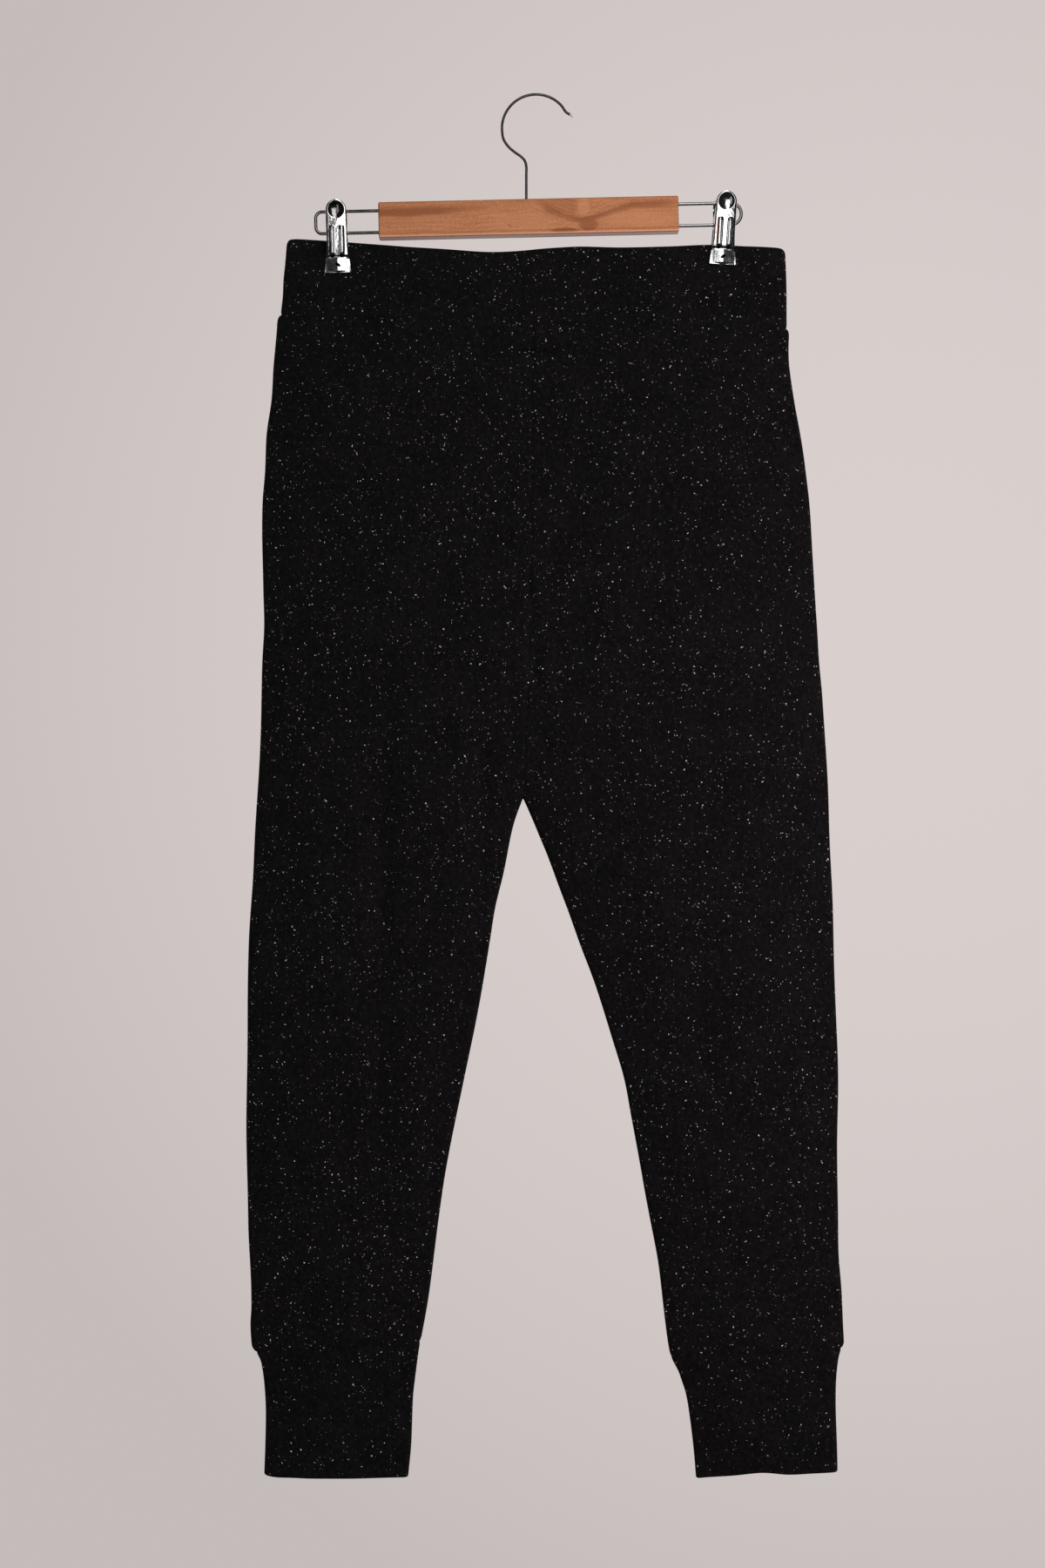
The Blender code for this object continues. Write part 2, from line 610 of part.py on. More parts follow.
def cuff_ring(half):
    """Outer points of a cuff, round the front from the side seam and back behind."""
    top = cuff_middle(half) - SEAM_GAP / 2
    bottom = half.cuff[-1].z
    grid = []
    for share in CUFF_ROWS:
        level = mix(top, bottom, share)
        slope = 1.0 - smooth(share)
        fold = read(SWELL, "z", "fold", level)
        side_z = level + (half.side[-1].z - cuff_middle(half)) * slope
        inner_z = level + (half.inseam[-1].z - cuff_middle(half)) * slope
        side_x = read(half.cuff, "z", "outer", side_z)
        width = abs(read(half.cuff, "z", "inner", inner_z) - side_x)
        arcs = [fold * (1.0 - math.cos(angle)) for angle in arc_angles()]
        flats = [mix(fold, width - fold, k / (CUFF_FLATS + 1)) for k in range(1, CUFF_FLATS + 1)]
        places = arcs + flats + [width - arc for arc in reversed(arcs)]
        line = []
        for face, order in (("front", places[:-1]), ("back", places[:0:-1])):
            for place in order:
                x = side_x + half.inward * place
                z = level + (cuff_seam(half, x) - cuff_middle(half)) * slope
                depth = stand_out(face, x, z, place, width - place)
                line.append(Vector((x, FACES[face] * depth, z)))
        grid.append(line)
    return grid


def build_cuff(half, material):
    outer = cuff_ring(half)
    wrapped = [[line[-1], *line, line[0]] for line in outer]
    grown = grow_inward(
        wrapped, DOUBLE_WALL,
        lambda i: Vector((0.0, 1.0, 0.0)), lambda i: Vector((0.0, 1.0, 0.0)),
    )
    inner = [line[1:-1] for line in grown]
    rounded_rim(outer, inner, len(outer) - 1)
    return closed_wall(f"cuff_{half.name}", outer, inner, material, ring=True)


# Pocket facings

def build_facing(half, front, back, material):
    """A strip inside the side fold, behind the pocket mouth, made from the panels' inner points."""
    low = MOUTH_BOTTOM - FACING_MARGIN
    high = MOUTH_TOP + FACING_MARGIN
    rows = [i for i, level in enumerate(panel_levels(half)) if low < level < high]
    columns = range(FACING_COLUMNS + 1)
    lining = [[front[i][j] for j in reversed(columns)] + [back[i][j] for j in columns] for i in rows]

    def skin(depth):
        return grow_inward(
            lining, depth,
            lambda i: lining[i][1] - lining[i][0], lambda i: lining[i][-1] - lining[i][-2],
        )

    outer = skin(SEAM_GAP)
    inner = skin(SEAM_GAP + FACING_WALL)
    return closed_wall(f"pocket_facing_{half.name}", outer, inner, material)


# Hanger

def empty(name, location, turn):
    thing = bpy.data.objects.new(name, None)
    thing.location = location
    thing.rotation_euler = (0.0, turn, 0.0)
    bpy.context.scene.collection.objects.link(thing)
    return thing


def wire(name, points, radius, material, parent=None, swell=None):
    """A round wire through the points, with closed ends."""
    curve = bpy.data.curves.new(name, "CURVE")
    curve.dimensions = "3D"
    curve.bevel_depth = radius
    curve.bevel_resolution = WIRE_SIDES
    curve.use_fill_caps = True
    spline = curve.splines.new("POLY")
    spline.points.add(len(points) - 1)
    for k, point in enumerate(points):
        spline.points[k].co = (*point, 1.0)
        spline.points[k].radius = swell[k] if swell else 1.0
    curve.materials.append(material)
    thing = bpy.data.objects.new(name, curve)
    thing.parent = parent
    bpy.context.scene.collection.objects.link(thing)


def round_cutter(name, start, end, radius, parent=None):
    """A cylinder between two points that cuts a bore."""
    axis = Vector(end) - Vector(start)
    place = Matrix.Translation((Vector(start) + Vector(end)) / 2)
    shape = bmesh.new()
    bmesh.ops.create_cone(
        shape, cap_ends=True, segments=BORE_SIDES, radius1=radius, radius2=radius, depth=axis.length,
        matrix=place @ axis.to_track_quat("Z", "Y").to_matrix().to_4x4(),
    )
    mesh = bpy.data.meshes.new(name)
    shape.to_mesh(mesh)
    shape.free()
    thing = bpy.data.objects.new(name, mesh)
    thing.parent = parent
    thing.hide_render = True
    thing.display_type = "WIRE"
    bpy.context.scene.collection.objects.link(thing)
    return thing


def cut(thing, cutter):
    bore = thing.modifiers.new(cutter.name, "BOOLEAN")
    bore.operation = "DIFFERENCE"
    bore.solver = "EXACT"
    bore.object = cutter


def flat_point(point):
    return Vector((point.x, 0.0, point.z))


def build_bar(material, frame):
    """The wooden bar, its edges rounded, with bores for the four wire ends and the shank."""
    shape = bmesh.new()
    bmesh.ops.create_cube(shape, size=1.0, matrix=Matrix.Diagonal((*BAR_SIZE, 1.0)))
    bmesh.ops.bevel(shape, geom=shape.edges[:], offset=BAR_ROUND, segments=2, profile=0.5, affect="EDGES")
    bar = add_object("hanger_bar", shape, material)
    bar.parent = frame
    bore = WIRE_RADIUS + BORE_CLEARANCE
    for side, sign in (("left", -1.0), ("right", 1.0)):
        for wire_name, height in (("upper", WIRE_UPPER), ("lower", WIRE_LOWER)):
            inside = sign * (BAR_SIZE[0] / 2 - WIRE_BURIED - BORE_CLEARANCE)
            outside = sign * (BAR_SIZE[0] / 2 + CUTTER_OVERSHOOT)
            ends = ((inside, 0.0, height), (outside, 0.0, height))
            cut(bar, round_cutter(f"wire_bore_{side}_{wire_name}", *ends, bore, frame))
    start = flat_point(SHANK_TOP)
    end = flat_point(SHANK_END)
    end += (end - start).normalized() * BORE_CLEARANCE
    cut(bar, round_cutter("shank_bore", start, end, HOOK_RADIUS + BORE_CLEARANCE))


def loop_points(side, corner):
    """Route of one wire loop: out of the bar, round its two corners and back in."""
    start = BAR_SIZE[0] / 2 - WIRE_BURIED
    points = [(side * start, 0.0, WIRE_UPPER)]
    for height, first in ((WIRE_UPPER - corner, math.pi / 2), (WIRE_LOWER + corner, 0.0)):
        for step in range(CORNER_STEPS + 1):
            angle = first - math.pi / 2 * step / CORNER_STEPS
            x = WIRE_END - corner + corner * math.cos(angle)
            points.append((side * x, 0.0, height + corner * math.sin(angle)))
    points.append((side * start, 0.0, WIRE_LOWER))
    return points


def smooth_route(route):
    """Points on a smooth curve through a route's own points."""
    extended = [route[0]] + route + [route[-1]]
    points = []
    for k in range(1, len(extended) - 2):
        a, b, c, d = extended[k - 1:k + 3]
        square = 2 * a - 5 * b + 4 * c - d
        cube = 3 * b - a - 3 * c + d
        for step in range(ROUTE_STEPS):
            t = step / ROUTE_STEPS
            points.append((2 * b + (c - a) * t + square * t ** 2 + cube * t ** 3) / 2)
    points.append(route[-1])
    return points


def hook_points():
    """Route of the hook from its tip over the crown and down the shank into the bar."""
    tip = [flat_point(point) for point in HOOK_TIP]
    centre = Vector((0.0, 0.0, CROWN_CENTRE_Z))
    crown = []
    for step in range(CROWN_STEPS + 1):
        angle = mix(CROWN_START, CROWN_END, step / CROWN_STEPS)
        crown.append(centre + CROWN_RADIUS * Vector((math.cos(angle), 0.0, math.sin(angle))))
    neck = [flat_point(point) for point in HOOK_NECK]
    start = flat_point(SHANK_TOP)
    end = flat_point(SHANK_END)
    eased = start + (end - start).normalized() * SHANK_EASE
    return smooth_route(tip + crown + neck + [start, eased]) + [end]


def leaf_section(row):
    """Inner face of a leaf at one height: lip, face with its ribs and dish, lip. Seen from +Z."""
    turn = row.turn * math.pi / 2
    lip_x = row.half + row.lip * math.cos(turn)
    lip_y = row.stand - row.lip * math.sin(turn)
    points = [Vector((-lip_x, lip_y))]
    for share in LEAF_COLUMNS:
        rib = row.rib if abs(share) == RIB_COLUMN else 0.0
        bowl = row.dish * math.cos(math.pi / 2 * min(abs(share) / DISH_WIDTH, 1.0))
        points.append(Vector((share * row.half, row.stand + rib - bowl)))
    points.append(Vector((lip_x, lip_y)))
    return points


def build_leaf(name, out, material, parent, cutter):
    """A pressed leaf: the same sheet on the front (out is -1) and, turned round, on the back."""
    inner = []
    outer = []
    for row in LEAF:
        line = leaf_section(row)
        far = []
        for k, point in enumerate(line):
            before = line[max(k - 1, 0)]
            after = line[min(k + 1, len(line) - 1)]
            run = (after - before).normalized()
            far.append(point + Vector((-run.y, run.x)) * LEAF_WALL)
        inner.append([Vector((p.x, out * p.y, row.z)) for p in line])
        outer.append([Vector((p.x, out * p.y, row.z)) for p in far])
    leaf = closed_wall(name, outer, inner, material)
    leaf.parent = parent
    cut(leaf, cutter)


def build_spring(name, middle, material, parent):
    """The coiled spring round the lower wire, as a plain sleeve."""
    bore = WIRE_RADIUS + BORE_CLEARANCE
    skins = []
    for radius in (SPRING_RADIUS, bore):
        skin = []
        for x in (middle - SPRING_LENGTH / 2, middle + SPRING_LENGTH / 2):
            angles = [2 * math.pi * k / BORE_SIDES for k in range(BORE_SIDES)]
            heights = [WIRE_LOWER + radius * math.sin(angle) for angle in angles]
            skin.append([Vector((x, radius * math.cos(a), z)) for a, z in zip(angles, heights)])
        skins.append(skin)
    spring = closed_wall(name, *skins, material, ring=True)
    spring.parent = parent


cloth = finish("black_knit", (0.012, 0.012, 0.013), 0.0, 0.9)
wood = finish("oiled_wood", (0.42, 0.17, 0.07), 0.0, 0.45)
chrome = finish("chromed_steel", (0.80, 0.80, 0.80), 1.0, 0.12)
steel = finish("bright_wire", (0.55, 0.55, 0.55), 1.0, 0.25)

for face in FACES:
    build_band(face, cloth)
for half in HALVES:
    linings = {}
    for face in FACES:
        outer, linings[face] = panel_skins(half, face)
        closed_wall(f"{face}_{half.name}", outer, linings[face], cloth)
    build_facing(half, linings["front"], linings["back"], cloth)
    build_cuff(half, cloth)

hanger_frame = empty("hanger_frame", BAR_CENTRE, BAR_TILT)
build_bar(wood, hanger_frame)
hook_route = hook_points()
thickness = TIP_BALL + [1.0] * (len(hook_route) - len(TIP_BALL))
wire("hanger_hook", hook_route, HOOK_RADIUS, steel, swell=thickness)
reach = LEAF[0].half + CUTTER_OVERSHOOT
for clip in CLIPS:
    route = loop_points(math.copysign(1.0, clip.x), clip.wire_corner)
    wire(f"wire_loop_{clip.side}", route, WIRE_RADIUS, steel, hanger_frame)
    build_spring(f"clip_spring_{clip.side}", clip.x, steel, hanger_frame)
    notch = round_cutter(
        f"clip_notch_{clip.side}",
        (clip.x - reach, 0.0, WIRE_LOWER), (clip.x + reach, 0.0, WIRE_LOWER),
        WIRE_RADIUS + NOTCH_CLEARANCE, hanger_frame,
    )
    clip_frame = empty(f"clip_frame_{clip.side}", clip_centre(clip), clip.lean)
    build_leaf(f"clip_front_{clip.side}", -1.0, chrome, clip_frame, notch)
    build_leaf(f"clip_back_{clip.side}", 1.0, chrome, clip_frame, notch)
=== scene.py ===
"""Black knit track pants with metallic flecks, hanging flat from a wooden clip hanger.

Metres, +Z up. The origin is the inner crown of the hook. The front of the garment faces -Y, and left
and right are as seen from in front: left is -X.
"""
import math
from collections import namedtuple

import bpy
import numpy as np
from mathutils import Matrix, Vector


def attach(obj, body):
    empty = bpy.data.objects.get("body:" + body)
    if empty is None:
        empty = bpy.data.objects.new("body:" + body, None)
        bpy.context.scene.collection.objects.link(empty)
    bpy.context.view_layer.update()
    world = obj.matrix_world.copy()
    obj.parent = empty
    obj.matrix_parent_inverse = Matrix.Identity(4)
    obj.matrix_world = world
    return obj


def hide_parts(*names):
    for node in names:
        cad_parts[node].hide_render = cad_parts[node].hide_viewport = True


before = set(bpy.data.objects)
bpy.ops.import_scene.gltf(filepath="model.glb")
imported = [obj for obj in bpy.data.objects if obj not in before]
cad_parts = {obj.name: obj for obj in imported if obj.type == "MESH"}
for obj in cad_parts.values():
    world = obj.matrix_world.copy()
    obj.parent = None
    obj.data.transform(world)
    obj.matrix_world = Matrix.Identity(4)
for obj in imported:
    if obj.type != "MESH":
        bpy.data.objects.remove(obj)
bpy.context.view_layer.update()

# The camera stands level with the crotch, 1.8 m in front, as in the photograph. At the garment one
# pixel of the 1200 x 1800 picture is 0.71 mm.
CAMERA_PLACE = (-0.0111, -1.8, -0.561)
CAMERA_LENS = 50.7

camera_data = bpy.data.cameras.new("camera")
camera_data.lens = CAMERA_LENS
camera = bpy.data.objects.new("camera", camera_data)
camera.location = CAMERA_PLACE
camera.rotation_euler = (math.pi / 2, 0.0, 0.0)
bpy.context.scene.collection.objects.link(camera)
bpy.context.scene.camera = camera
bpy.context.scene.view_settings.view_transform = "Standard"


# The room is a photographer's pale backdrop, all round, brightest a little right of the garment and
# falling off softly towards the picture's corners, with a pale floor well below the hems.
class Shade:
    """A socket in a node tree. Arithmetic on it adds Math nodes, and node() adds any other node."""

    def __init__(self, tree, socket=None):
        self.tree = tree
        self.socket = socket

    def node(self, kind, settings=None, sockets=None, output=0):
        """One output of a new node, whose settings are set before its sockets' values and links."""
        made = self.tree.nodes.new(kind)
        for name, value in (settings or {}).items():
            if name == "stops":
                ramp = made.color_ramp
                while len(ramp.elements) < len(value):
                    ramp.elements.new(1.0)
                for element, (place, color) in zip(ramp.elements, value):
                    element.position = place
                    element.color = color
            else:
                setattr(made, name, value)
        for name, value in (sockets or {}).items():
            if isinstance(value, Shade):
                self.tree.links.new(value.socket, made.inputs[name])
            else:
                made.inputs[name].default_value = value
        return Shade(self.tree, made.outputs[output])

    def math(self, operation, first, second):
        return self.node("ShaderNodeMath", {"operation": operation}, {0: first, 1: second})

    def __add__(self, other):
        return self.math("ADD", self, other)

    def __radd__(self, other):
        return self.math("ADD", other, self)

    def __sub__(self, other):
        return self.math("SUBTRACT", self, other)

    def __rsub__(self, other):
        return self.math("SUBTRACT", other, self)

    def __mul__(self, other):
        return self.math("MULTIPLY", self, other)

    def __rmul__(self, other):
        return self.math("MULTIPLY", other, self)

    def sine(self):
        return self.math("SINE", self, 0.0)

    def at_least(self, floor):
        return self.math("MAXIMUM", self, floor)

    def step(self, low, high):
        """0 below low and 1 above high, with a soft step between them."""
        return self.node(
            "ShaderNodeMapRange", {"interpolation_type": "SMOOTHSTEP"},
            {"Value": self, "From Min": low, "From Max": high},
        )

    def other(self, output):
        """Another output of the same node."""
        return Shade(self.tree, self.socket.node.outputs[output])

    def feed(self, socket):
        self.tree.links.new(self.socket, socket)


BACKDROP_COLOR = (0.694, 0.631, 0.617, 1.0)
BACKDROP_AIM = (0.1632, 0.9849, 0.0580)
BACKDROP_FALL = 2.0
BACKDROP_DIMMEST = 0.80

world = bpy.data.worlds.new("backdrop")
world.use_nodes = True
bpy.context.scene.world = world
air = Shade(world.node_tree)
facing = air.node(
    "ShaderNodeVectorMath", {"operation": "DOT_PRODUCT"},
    {0: air.node("ShaderNodeTexCoord"), 1: BACKDROP_AIM}, output="Value",
)
backdrop = world.node_tree.nodes["Background"]
backdrop.inputs["Color"].default_value = BACKDROP_COLOR
(1.0 - BACKDROP_FALL * (1.0 - facing)).at_least(BACKDROP_DIMMEST).feed(backdrop.inputs["Strength"])


def new_material(name, **constants):
    """A material, a Shade to build its nodes from, and the sockets of its surface."""
    material = bpy.data.materials.new(name)
    material.use_nodes = True
    sockets = material.node_tree.nodes["Principled BSDF"].inputs
    for key, value in constants.items():
        sockets[key.replace("_", " ").title().replace("Ior", "IOR")].default_value = value
    return material, Shade(material.node_tree), sockets


def link(name, data):
    """Puts a new object in the scene."""
    thing = bpy.data.objects.new(name, data)
    bpy.context.scene.collection.objects.link(thing)
    return thing


def mesh_object(name, points, faces, material, sharp=40.0):
    """A smooth shaded mesh whose sharp edges stay sharp."""
    mesh = bpy.data.meshes.new(name)
    mesh.from_pydata(points, [], faces)
    mesh.validate()
    mesh.materials.append(material)
    mesh.shade_smooth()
    mesh.set_sharp_from_angle(angle=math.radians(sharp))
    return link(name, mesh)


FLOOR_HEIGHT = -1.90
FLOOR_RADIUS = 1.90
FLOOR_SIDES = 96

floor_material, _, _ = new_material("pale_floor", base_color=(0.66, 0.62, 0.60, 1.0), roughness=0.9)
turns = [math.tau * k / FLOOR_SIDES for k in range(FLOOR_SIDES)]
circle = [(FLOOR_RADIUS * math.cos(a), FLOOR_RADIUS * math.sin(a), FLOOR_HEIGHT) for a in turns]
floor = mesh_object("floor", circle, [list(range(FLOOR_SIDES))], floor_material)

# Two soft boxes light the garment from the right: a large one high up, and a nearer one beside the legs.
SoftBox = namedtuple("SoftBox", "name place wide tall power color")
KEY_LIGHTS = [
    SoftBox("key_light", (1.7, -2.1, 0.9), 1.5, 1.5, 12.0, (1.0, 1.0, 1.0)),
    SoftBox("side_light", (0.85, -0.6, -0.6), 0.5, 0.5, 9.0, (1.0, 0.76, 0.88)),
]
LIGHT_AIM = Vector((0.0, 0.0, -0.5))


def soft_box(box):
    """A lamp with a soft rectangular face that shines along +Y and isn't seen itself."""
    lamp = bpy.data.lights.new(box.name, "AREA")
    lamp.shape = "RECTANGLE"
    lamp.size = box.wide
    lamp.size_y = box.tall
    lamp.energy = box.power
    lamp.color = box.color
    lamp_object = link(box.name, lamp)
    lamp_object.location = box.place
    lamp_object.rotation_euler = (math.pi / 2, 0.0, 0.0)
    lamp_object.visible_camera = False
    return lamp_object


for box in KEY_LIGHTS:
    key_light = soft_box(box)
    key_light.rotation_euler = (LIGHT_AIM - Vector(box.place)).to_track_quat("-Z", "Y").to_euler()
    key_light.visible_glossy = False

# A black tent stands round the garment, open at the back, and only the bright metal sees it, so that
# the metal shows its form in dark and light. Two narrow soft boxes stand in it beside the camera.
TENT_LOW = (-3.4, -3.4, -1.85)
TENT_HIGH = (3.4, 0.6, 3.6)
STRIPS = [
    SoftBox("strip_right", (0.305, -2.45, 1.43), 0.83, 3.92, 20.0, (1.0, 1.0, 1.0)),
    SoftBox("strip_left", (-0.46, -2.45, -0.65), 0.26, 1.70, 0.9, (1.0, 1.0, 1.0)),
]

drape, _, _ = new_material("black_drape", base_color=(0.004, 0.004, 0.004, 1.0), roughness=1.0)
corners = [(x, y, z) for x in (TENT_LOW[0], TENT_HIGH[0]) for y in (TENT_LOW[1], TENT_HIGH[1])
           for z in (TENT_LOW[2], TENT_HIGH[2])]
sheets = [(0, 1, 5, 4), (0, 2, 3, 1), (4, 5, 7, 6), (1, 3, 7, 5), (0, 4, 6, 2)]
tent = mesh_object("tent", corners, sheets, drape)
tent.visible_camera = False
tent.visible_diffuse = False
tent.visible_shadow = False
tent.visible_transmission = False

for strip in STRIPS:
    soft_box(strip).visible_diffuse = False


# The hanger's bar is a planed strip of reddish wood, sawn flat, so that its grain runs straight on the
# left and meets in a point right of the middle. Its edges are sanded and its face is oiled.
BAR_CENTRE = (-0.0062, 0.0, -0.0999)
BAR_SIZE = (0.2442, 0.0120, 0.0291)
BAR_TILT = math.radians(-1.25)
WOOD_LIGHT = (0.585, 0.290, 0.136, 1.0)
WOOD_DEEP = (0.380, 0.148, 0.050, 1.0)
WOOD_DARK = (0.225, 0.073, 0.023, 1.0)
WOOD_PORE_AND_SHADE = (0.130, 0.045, 0.020, 1.0)
WOOD_WORN = (0.680, 0.400, 0.250, 1.0)
WOOD_UNDER = (0.440, 0.375, 0.330, 1.0)
RING_SPACING = 0.0034

# Places along the bar, each with the height of its darkest grain line, that line's strength and half
# its width, all in millimetres but the strength
GRAIN_LINE = [
    (-122.0, 6.3, 0.85, 3.2), (-72.0, 6.4, 0.85, 3.0), (-50.0, 7.2, 0.45, 2.4), (-28.0, 9.0, 0.15, 2.0),
    (4.0, 13.4, 0.25, 2.0), (11.0, 10.4, 0.42, 2.8), (18.0, 5.4, 0.48, 3.0), (31.0, -0.6, 0.60, 2.4),
    (43.0, -3.6, 0.85, 2.0), (55.0, -0.4, 0.80, 1.9), (70.0, 4.2, 0.65, 1.7), (84.0, 7.9, 0.80, 2.2),
    (106.0, 8.4, 0.75, 2.4), (122.0, 8.6, 0.20, 2.0),
]
GRAIN_HEIGHTS = 30.0
GRAIN_WIDTHS = 10.0
LINE_EDGE = (-0.0016, 0.0022)

# Oval spots of dark or pale wood
Spot = namedtuple("Spot", "x z half_x half_z")
KNOTS = [Spot(0.0485, -0.0076, 0.0076, 0.0050), Spot(0.0290, -0.0118, 0.0105, 0.0020)]
WEDGE = Spot(0.0450, 0.0070, 0.0046, 0.0072)
PALE_SPOTS = [Spot(-0.0040, -0.0040, 0.0260, 0.0080), Spot(0.0900, -0.0040, 0.0300, 0.0060)]

# Where the other marks lie, along the bar or up it
SMOKY_ALONG = (0.0130, 0.0390)
SMOKY_UP = (-0.0010, 0.0040)
GROOVE_UP = (-0.0117, -0.0108)
WORN_UP = (-0.0134, -0.0126)
# Heights of the painted shade along the lower edge and of the darker line along the upper edge
LOWER_EDGE = (-0.01415, -0.01370)
UPPER_EDGE = (0.01380, 0.01420)
END_ALONG = 0.1216
KNOCK_LEAN = 0.9
KNOCK_ALONG = (-0.0222, -0.0212)
KNOCK_UP = (-0.0082, -0.0056)
UNDER_UP = (-0.01452, -0.01444)
UNDER_THROUGH = (-0.0054, -0.0044)

wood, grain, wood_sockets = new_material("oiled_wood", specular_ior_level=0.20)
board = grain.node(
    "ShaderNodeMapping", {"vector_type": "TEXTURE"},
    {
        "Vector": grain.node("ShaderNodeTexCoord", output="Object"),
        "Location": BAR_CENTRE, "Rotation": (0.0, BAR_TILT, 0.0),
    },
)
along = grain.node("ShaderNodeSeparateXYZ", {}, {"Vector": board})
through = along.other("Y")
up = along.other("Z")


def noise(place, scale, detail):
    return place.node("ShaderNodeTexNoise", {}, {"Vector": place, "Scale": scale, "Detail": detail})


def blend(mask, first, second):
    """The first colour where the mask is 0, and the second where it is 1."""
    return mask.node("ShaderNodeMix", {"data_type": "RGBA"}, {0: mask, 6: first, 7: second}, output=2)


def wood_noise(scale, detail):
    """Noise over the board, with its scale along it, through it and up it."""
    return noise(board.node("ShaderNodeMapping", {}, {"Vector": board, "Scale": scale}), 1.0, detail)


def within(value, limits, soft):
    """1 where a value lies between two limits, with soft ends."""
    low, high = limits
    return value.step(low - soft, low + soft) * (1.0 - value.step(high - soft, high + soft))


def blotch(spot):
    """1 in a soft oval spot with a ragged edge."""
    across = (along - spot.x) * (1.0 / spot.half_x)
    upward = (up - spot.z) * (1.0 / spot.half_z)
    return 1.0 - (across * across + upward * upward + ragged).step(0.45, 1.55)


fibres = wood_noise((55.0, 260.0, 900.0), 5.0)
speckle = wood_noise((860.0, 860.0, 1250.0), 3.0)
cloud = wood_noise((24.0, 60.0, 70.0), 3.0)
pores = wood_noise((260.0, 500.0, 2600.0), 2.0)
ragged = 1.1 * (speckle - 0.5) + 0.8 * (fibres - 0.5)

# The dark grain line, which wanders up and down the board, and the growth rings beside it
stops = [
    (place / 1000.0 / BAR_SIZE[0] + 0.5, (height / GRAIN_HEIGHTS + 0.5, strength, half / GRAIN_WIDTHS, 1.0))
    for place, height, strength, half in GRAIN_LINE
]
flow = grain.node("ShaderNodeValToRGB", {"stops": stops}, {0: along * (1.0 / BAR_SIZE[0]) + 0.5})
line = grain.node("ShaderNodeSeparateColor", {}, {"Color": flow})
drift = 0.0040 * (cloud - 0.5) + 0.0050 * (speckle - 0.5)
rise = up - (line - 0.5) * (GRAIN_HEIGHTS / 1000.0) + drift
beside = rise * rise.math("SIGN", rise, 0.0)
line_edge = beside - line.other("Blue") * (GRAIN_WIDTHS / 1000.0)
dark_line = line.other("Green") * (1.0 - line_edge.step(*LINE_EDGE))
ring = 0.5 + 0.5 * (rise * (math.tau / RING_SPACING)).sine()
ring = ring * ring * cloud.step(0.30, 0.62)

# Marks of growth, of the saw and of use, and painted shade: a dark line along the face's lower edge that
# runs on under the front of the underside. A fainter dark line lies along the upper edge.
knot = blotch(KNOTS[0]).at_least(blotch(KNOTS[1]))
pale = blotch(PALE_SPOTS[0]).at_least(blotch(PALE_SPOTS[1]))
smoky = within(along, SMOKY_ALONG, 0.0030) * up.step(*SMOKY_UP)
groove_line = within(up + 0.0008 * (cloud - 0.5), GROOVE_UP, 0.0005)
worn = 1.0 - (up + 0.0012 * (speckle - 0.5)).step(*WORN_UP)
# Painted shade along the lower edge and under its front, and a fainter dark line along the upper edge
low_edge_shade_and_top_line = (1.0 - up.step(*LOWER_EDGE)).at_least(0.6 * up.step(*UPPER_EDGE))
ends = 1.0 - within(along, (-END_ALONG, END_ALONG), 0.0003)
knock = within(along + up * KNOCK_LEAN, KNOCK_ALONG, 0.0003) * within(up, KNOCK_UP, 0.0005)
under = (1.0 - up.step(*UNDER_UP)) * through.step(*UNDER_THROUGH)

tone = blend((0.22 * fibres + 0.78 * speckle).step(0.38, 0.62), WOOD_DEEP, WOOD_LIGHT)
for mask, color in (
    (0.22 * ring + 0.34 * speckle.step(0.50, 0.68) + 0.26 * smoky, WOOD_DARK),
    (0.45 * blotch(WEDGE) + 0.30 * pale, WOOD_LIGHT),
    (0.88 * dark_line.at_least(0.75 * knot) + 0.45 * groove_line, WOOD_DARK),
    (0.75 * worn, WOOD_WORN),
    # pores, the knock, darker ends, and painted shade along the lower edge with the upper edge's dark line
    (0.45 * pores.step(0.62, 0.72) + 0.75 * knock + 0.70 * low_edge_shade_and_top_line.at_least(ends), WOOD_PORE_AND_SHADE),
    (under, WOOD_UNDER),
):
    tone = blend(mask, tone, color)
tone.feed(wood_sockets["Base Color"])
(0.46 + 0.22 * fibres).feed(wood_sockets["Roughness"])
grain.node(
    "ShaderNodeBump", {},
    {"Strength": 0.22, "Distance": 0.00020, "Height": 0.5 * fibres + speckle - 0.6 * pores.step(0.60, 0.72)},
).feed(wood_sockets["Normal"])
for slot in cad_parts["hanger_bar"].material_slots:
    slot.material = wood


# The hook is one length of round steel wire, bent over a former into its crown and neck. A small
# bright ball is crimped on its tip, and its straight shank is driven into the bar.
HOOK_RADIUS = 0.0011
CROWN_CENTRE_Z = -0.0268
CROWN_RADIUS = 0.0279
CROWN_START = math.radians(45.0)
CROWN_END = math.radians(190.0)
CROWN_STEPS = 8
ROUTE_STEPS = 14

# Points (x, z) of the bent wire, from the tip to the crown and from the crown down to the shank
HOOK_TIP = [(0.0296, -0.0164), (0.0266, -0.0148), (0.0239, -0.0128)]
HOOK_NECK = [
    (-0.0258, -0.0370), (-0.0221, -0.0420), (-0.0173, -0.0461), (-0.0126, -0.0494), (-0.0093, -0.0530),
    (-0.0080, -0.0578),
]
SHANK_END = Vector((-0.0080, 0.0, -0.1030))
SHANK_EASE = 0.006
BALL_RADIUS = 0.00165
BALL_COLLAR = 0.00125
BALL_REACH = 0.0019
BALL_SHOULDER = 0.82
BALL_TURNS = range(48, 180, 12)
BALL_SIDES = 32


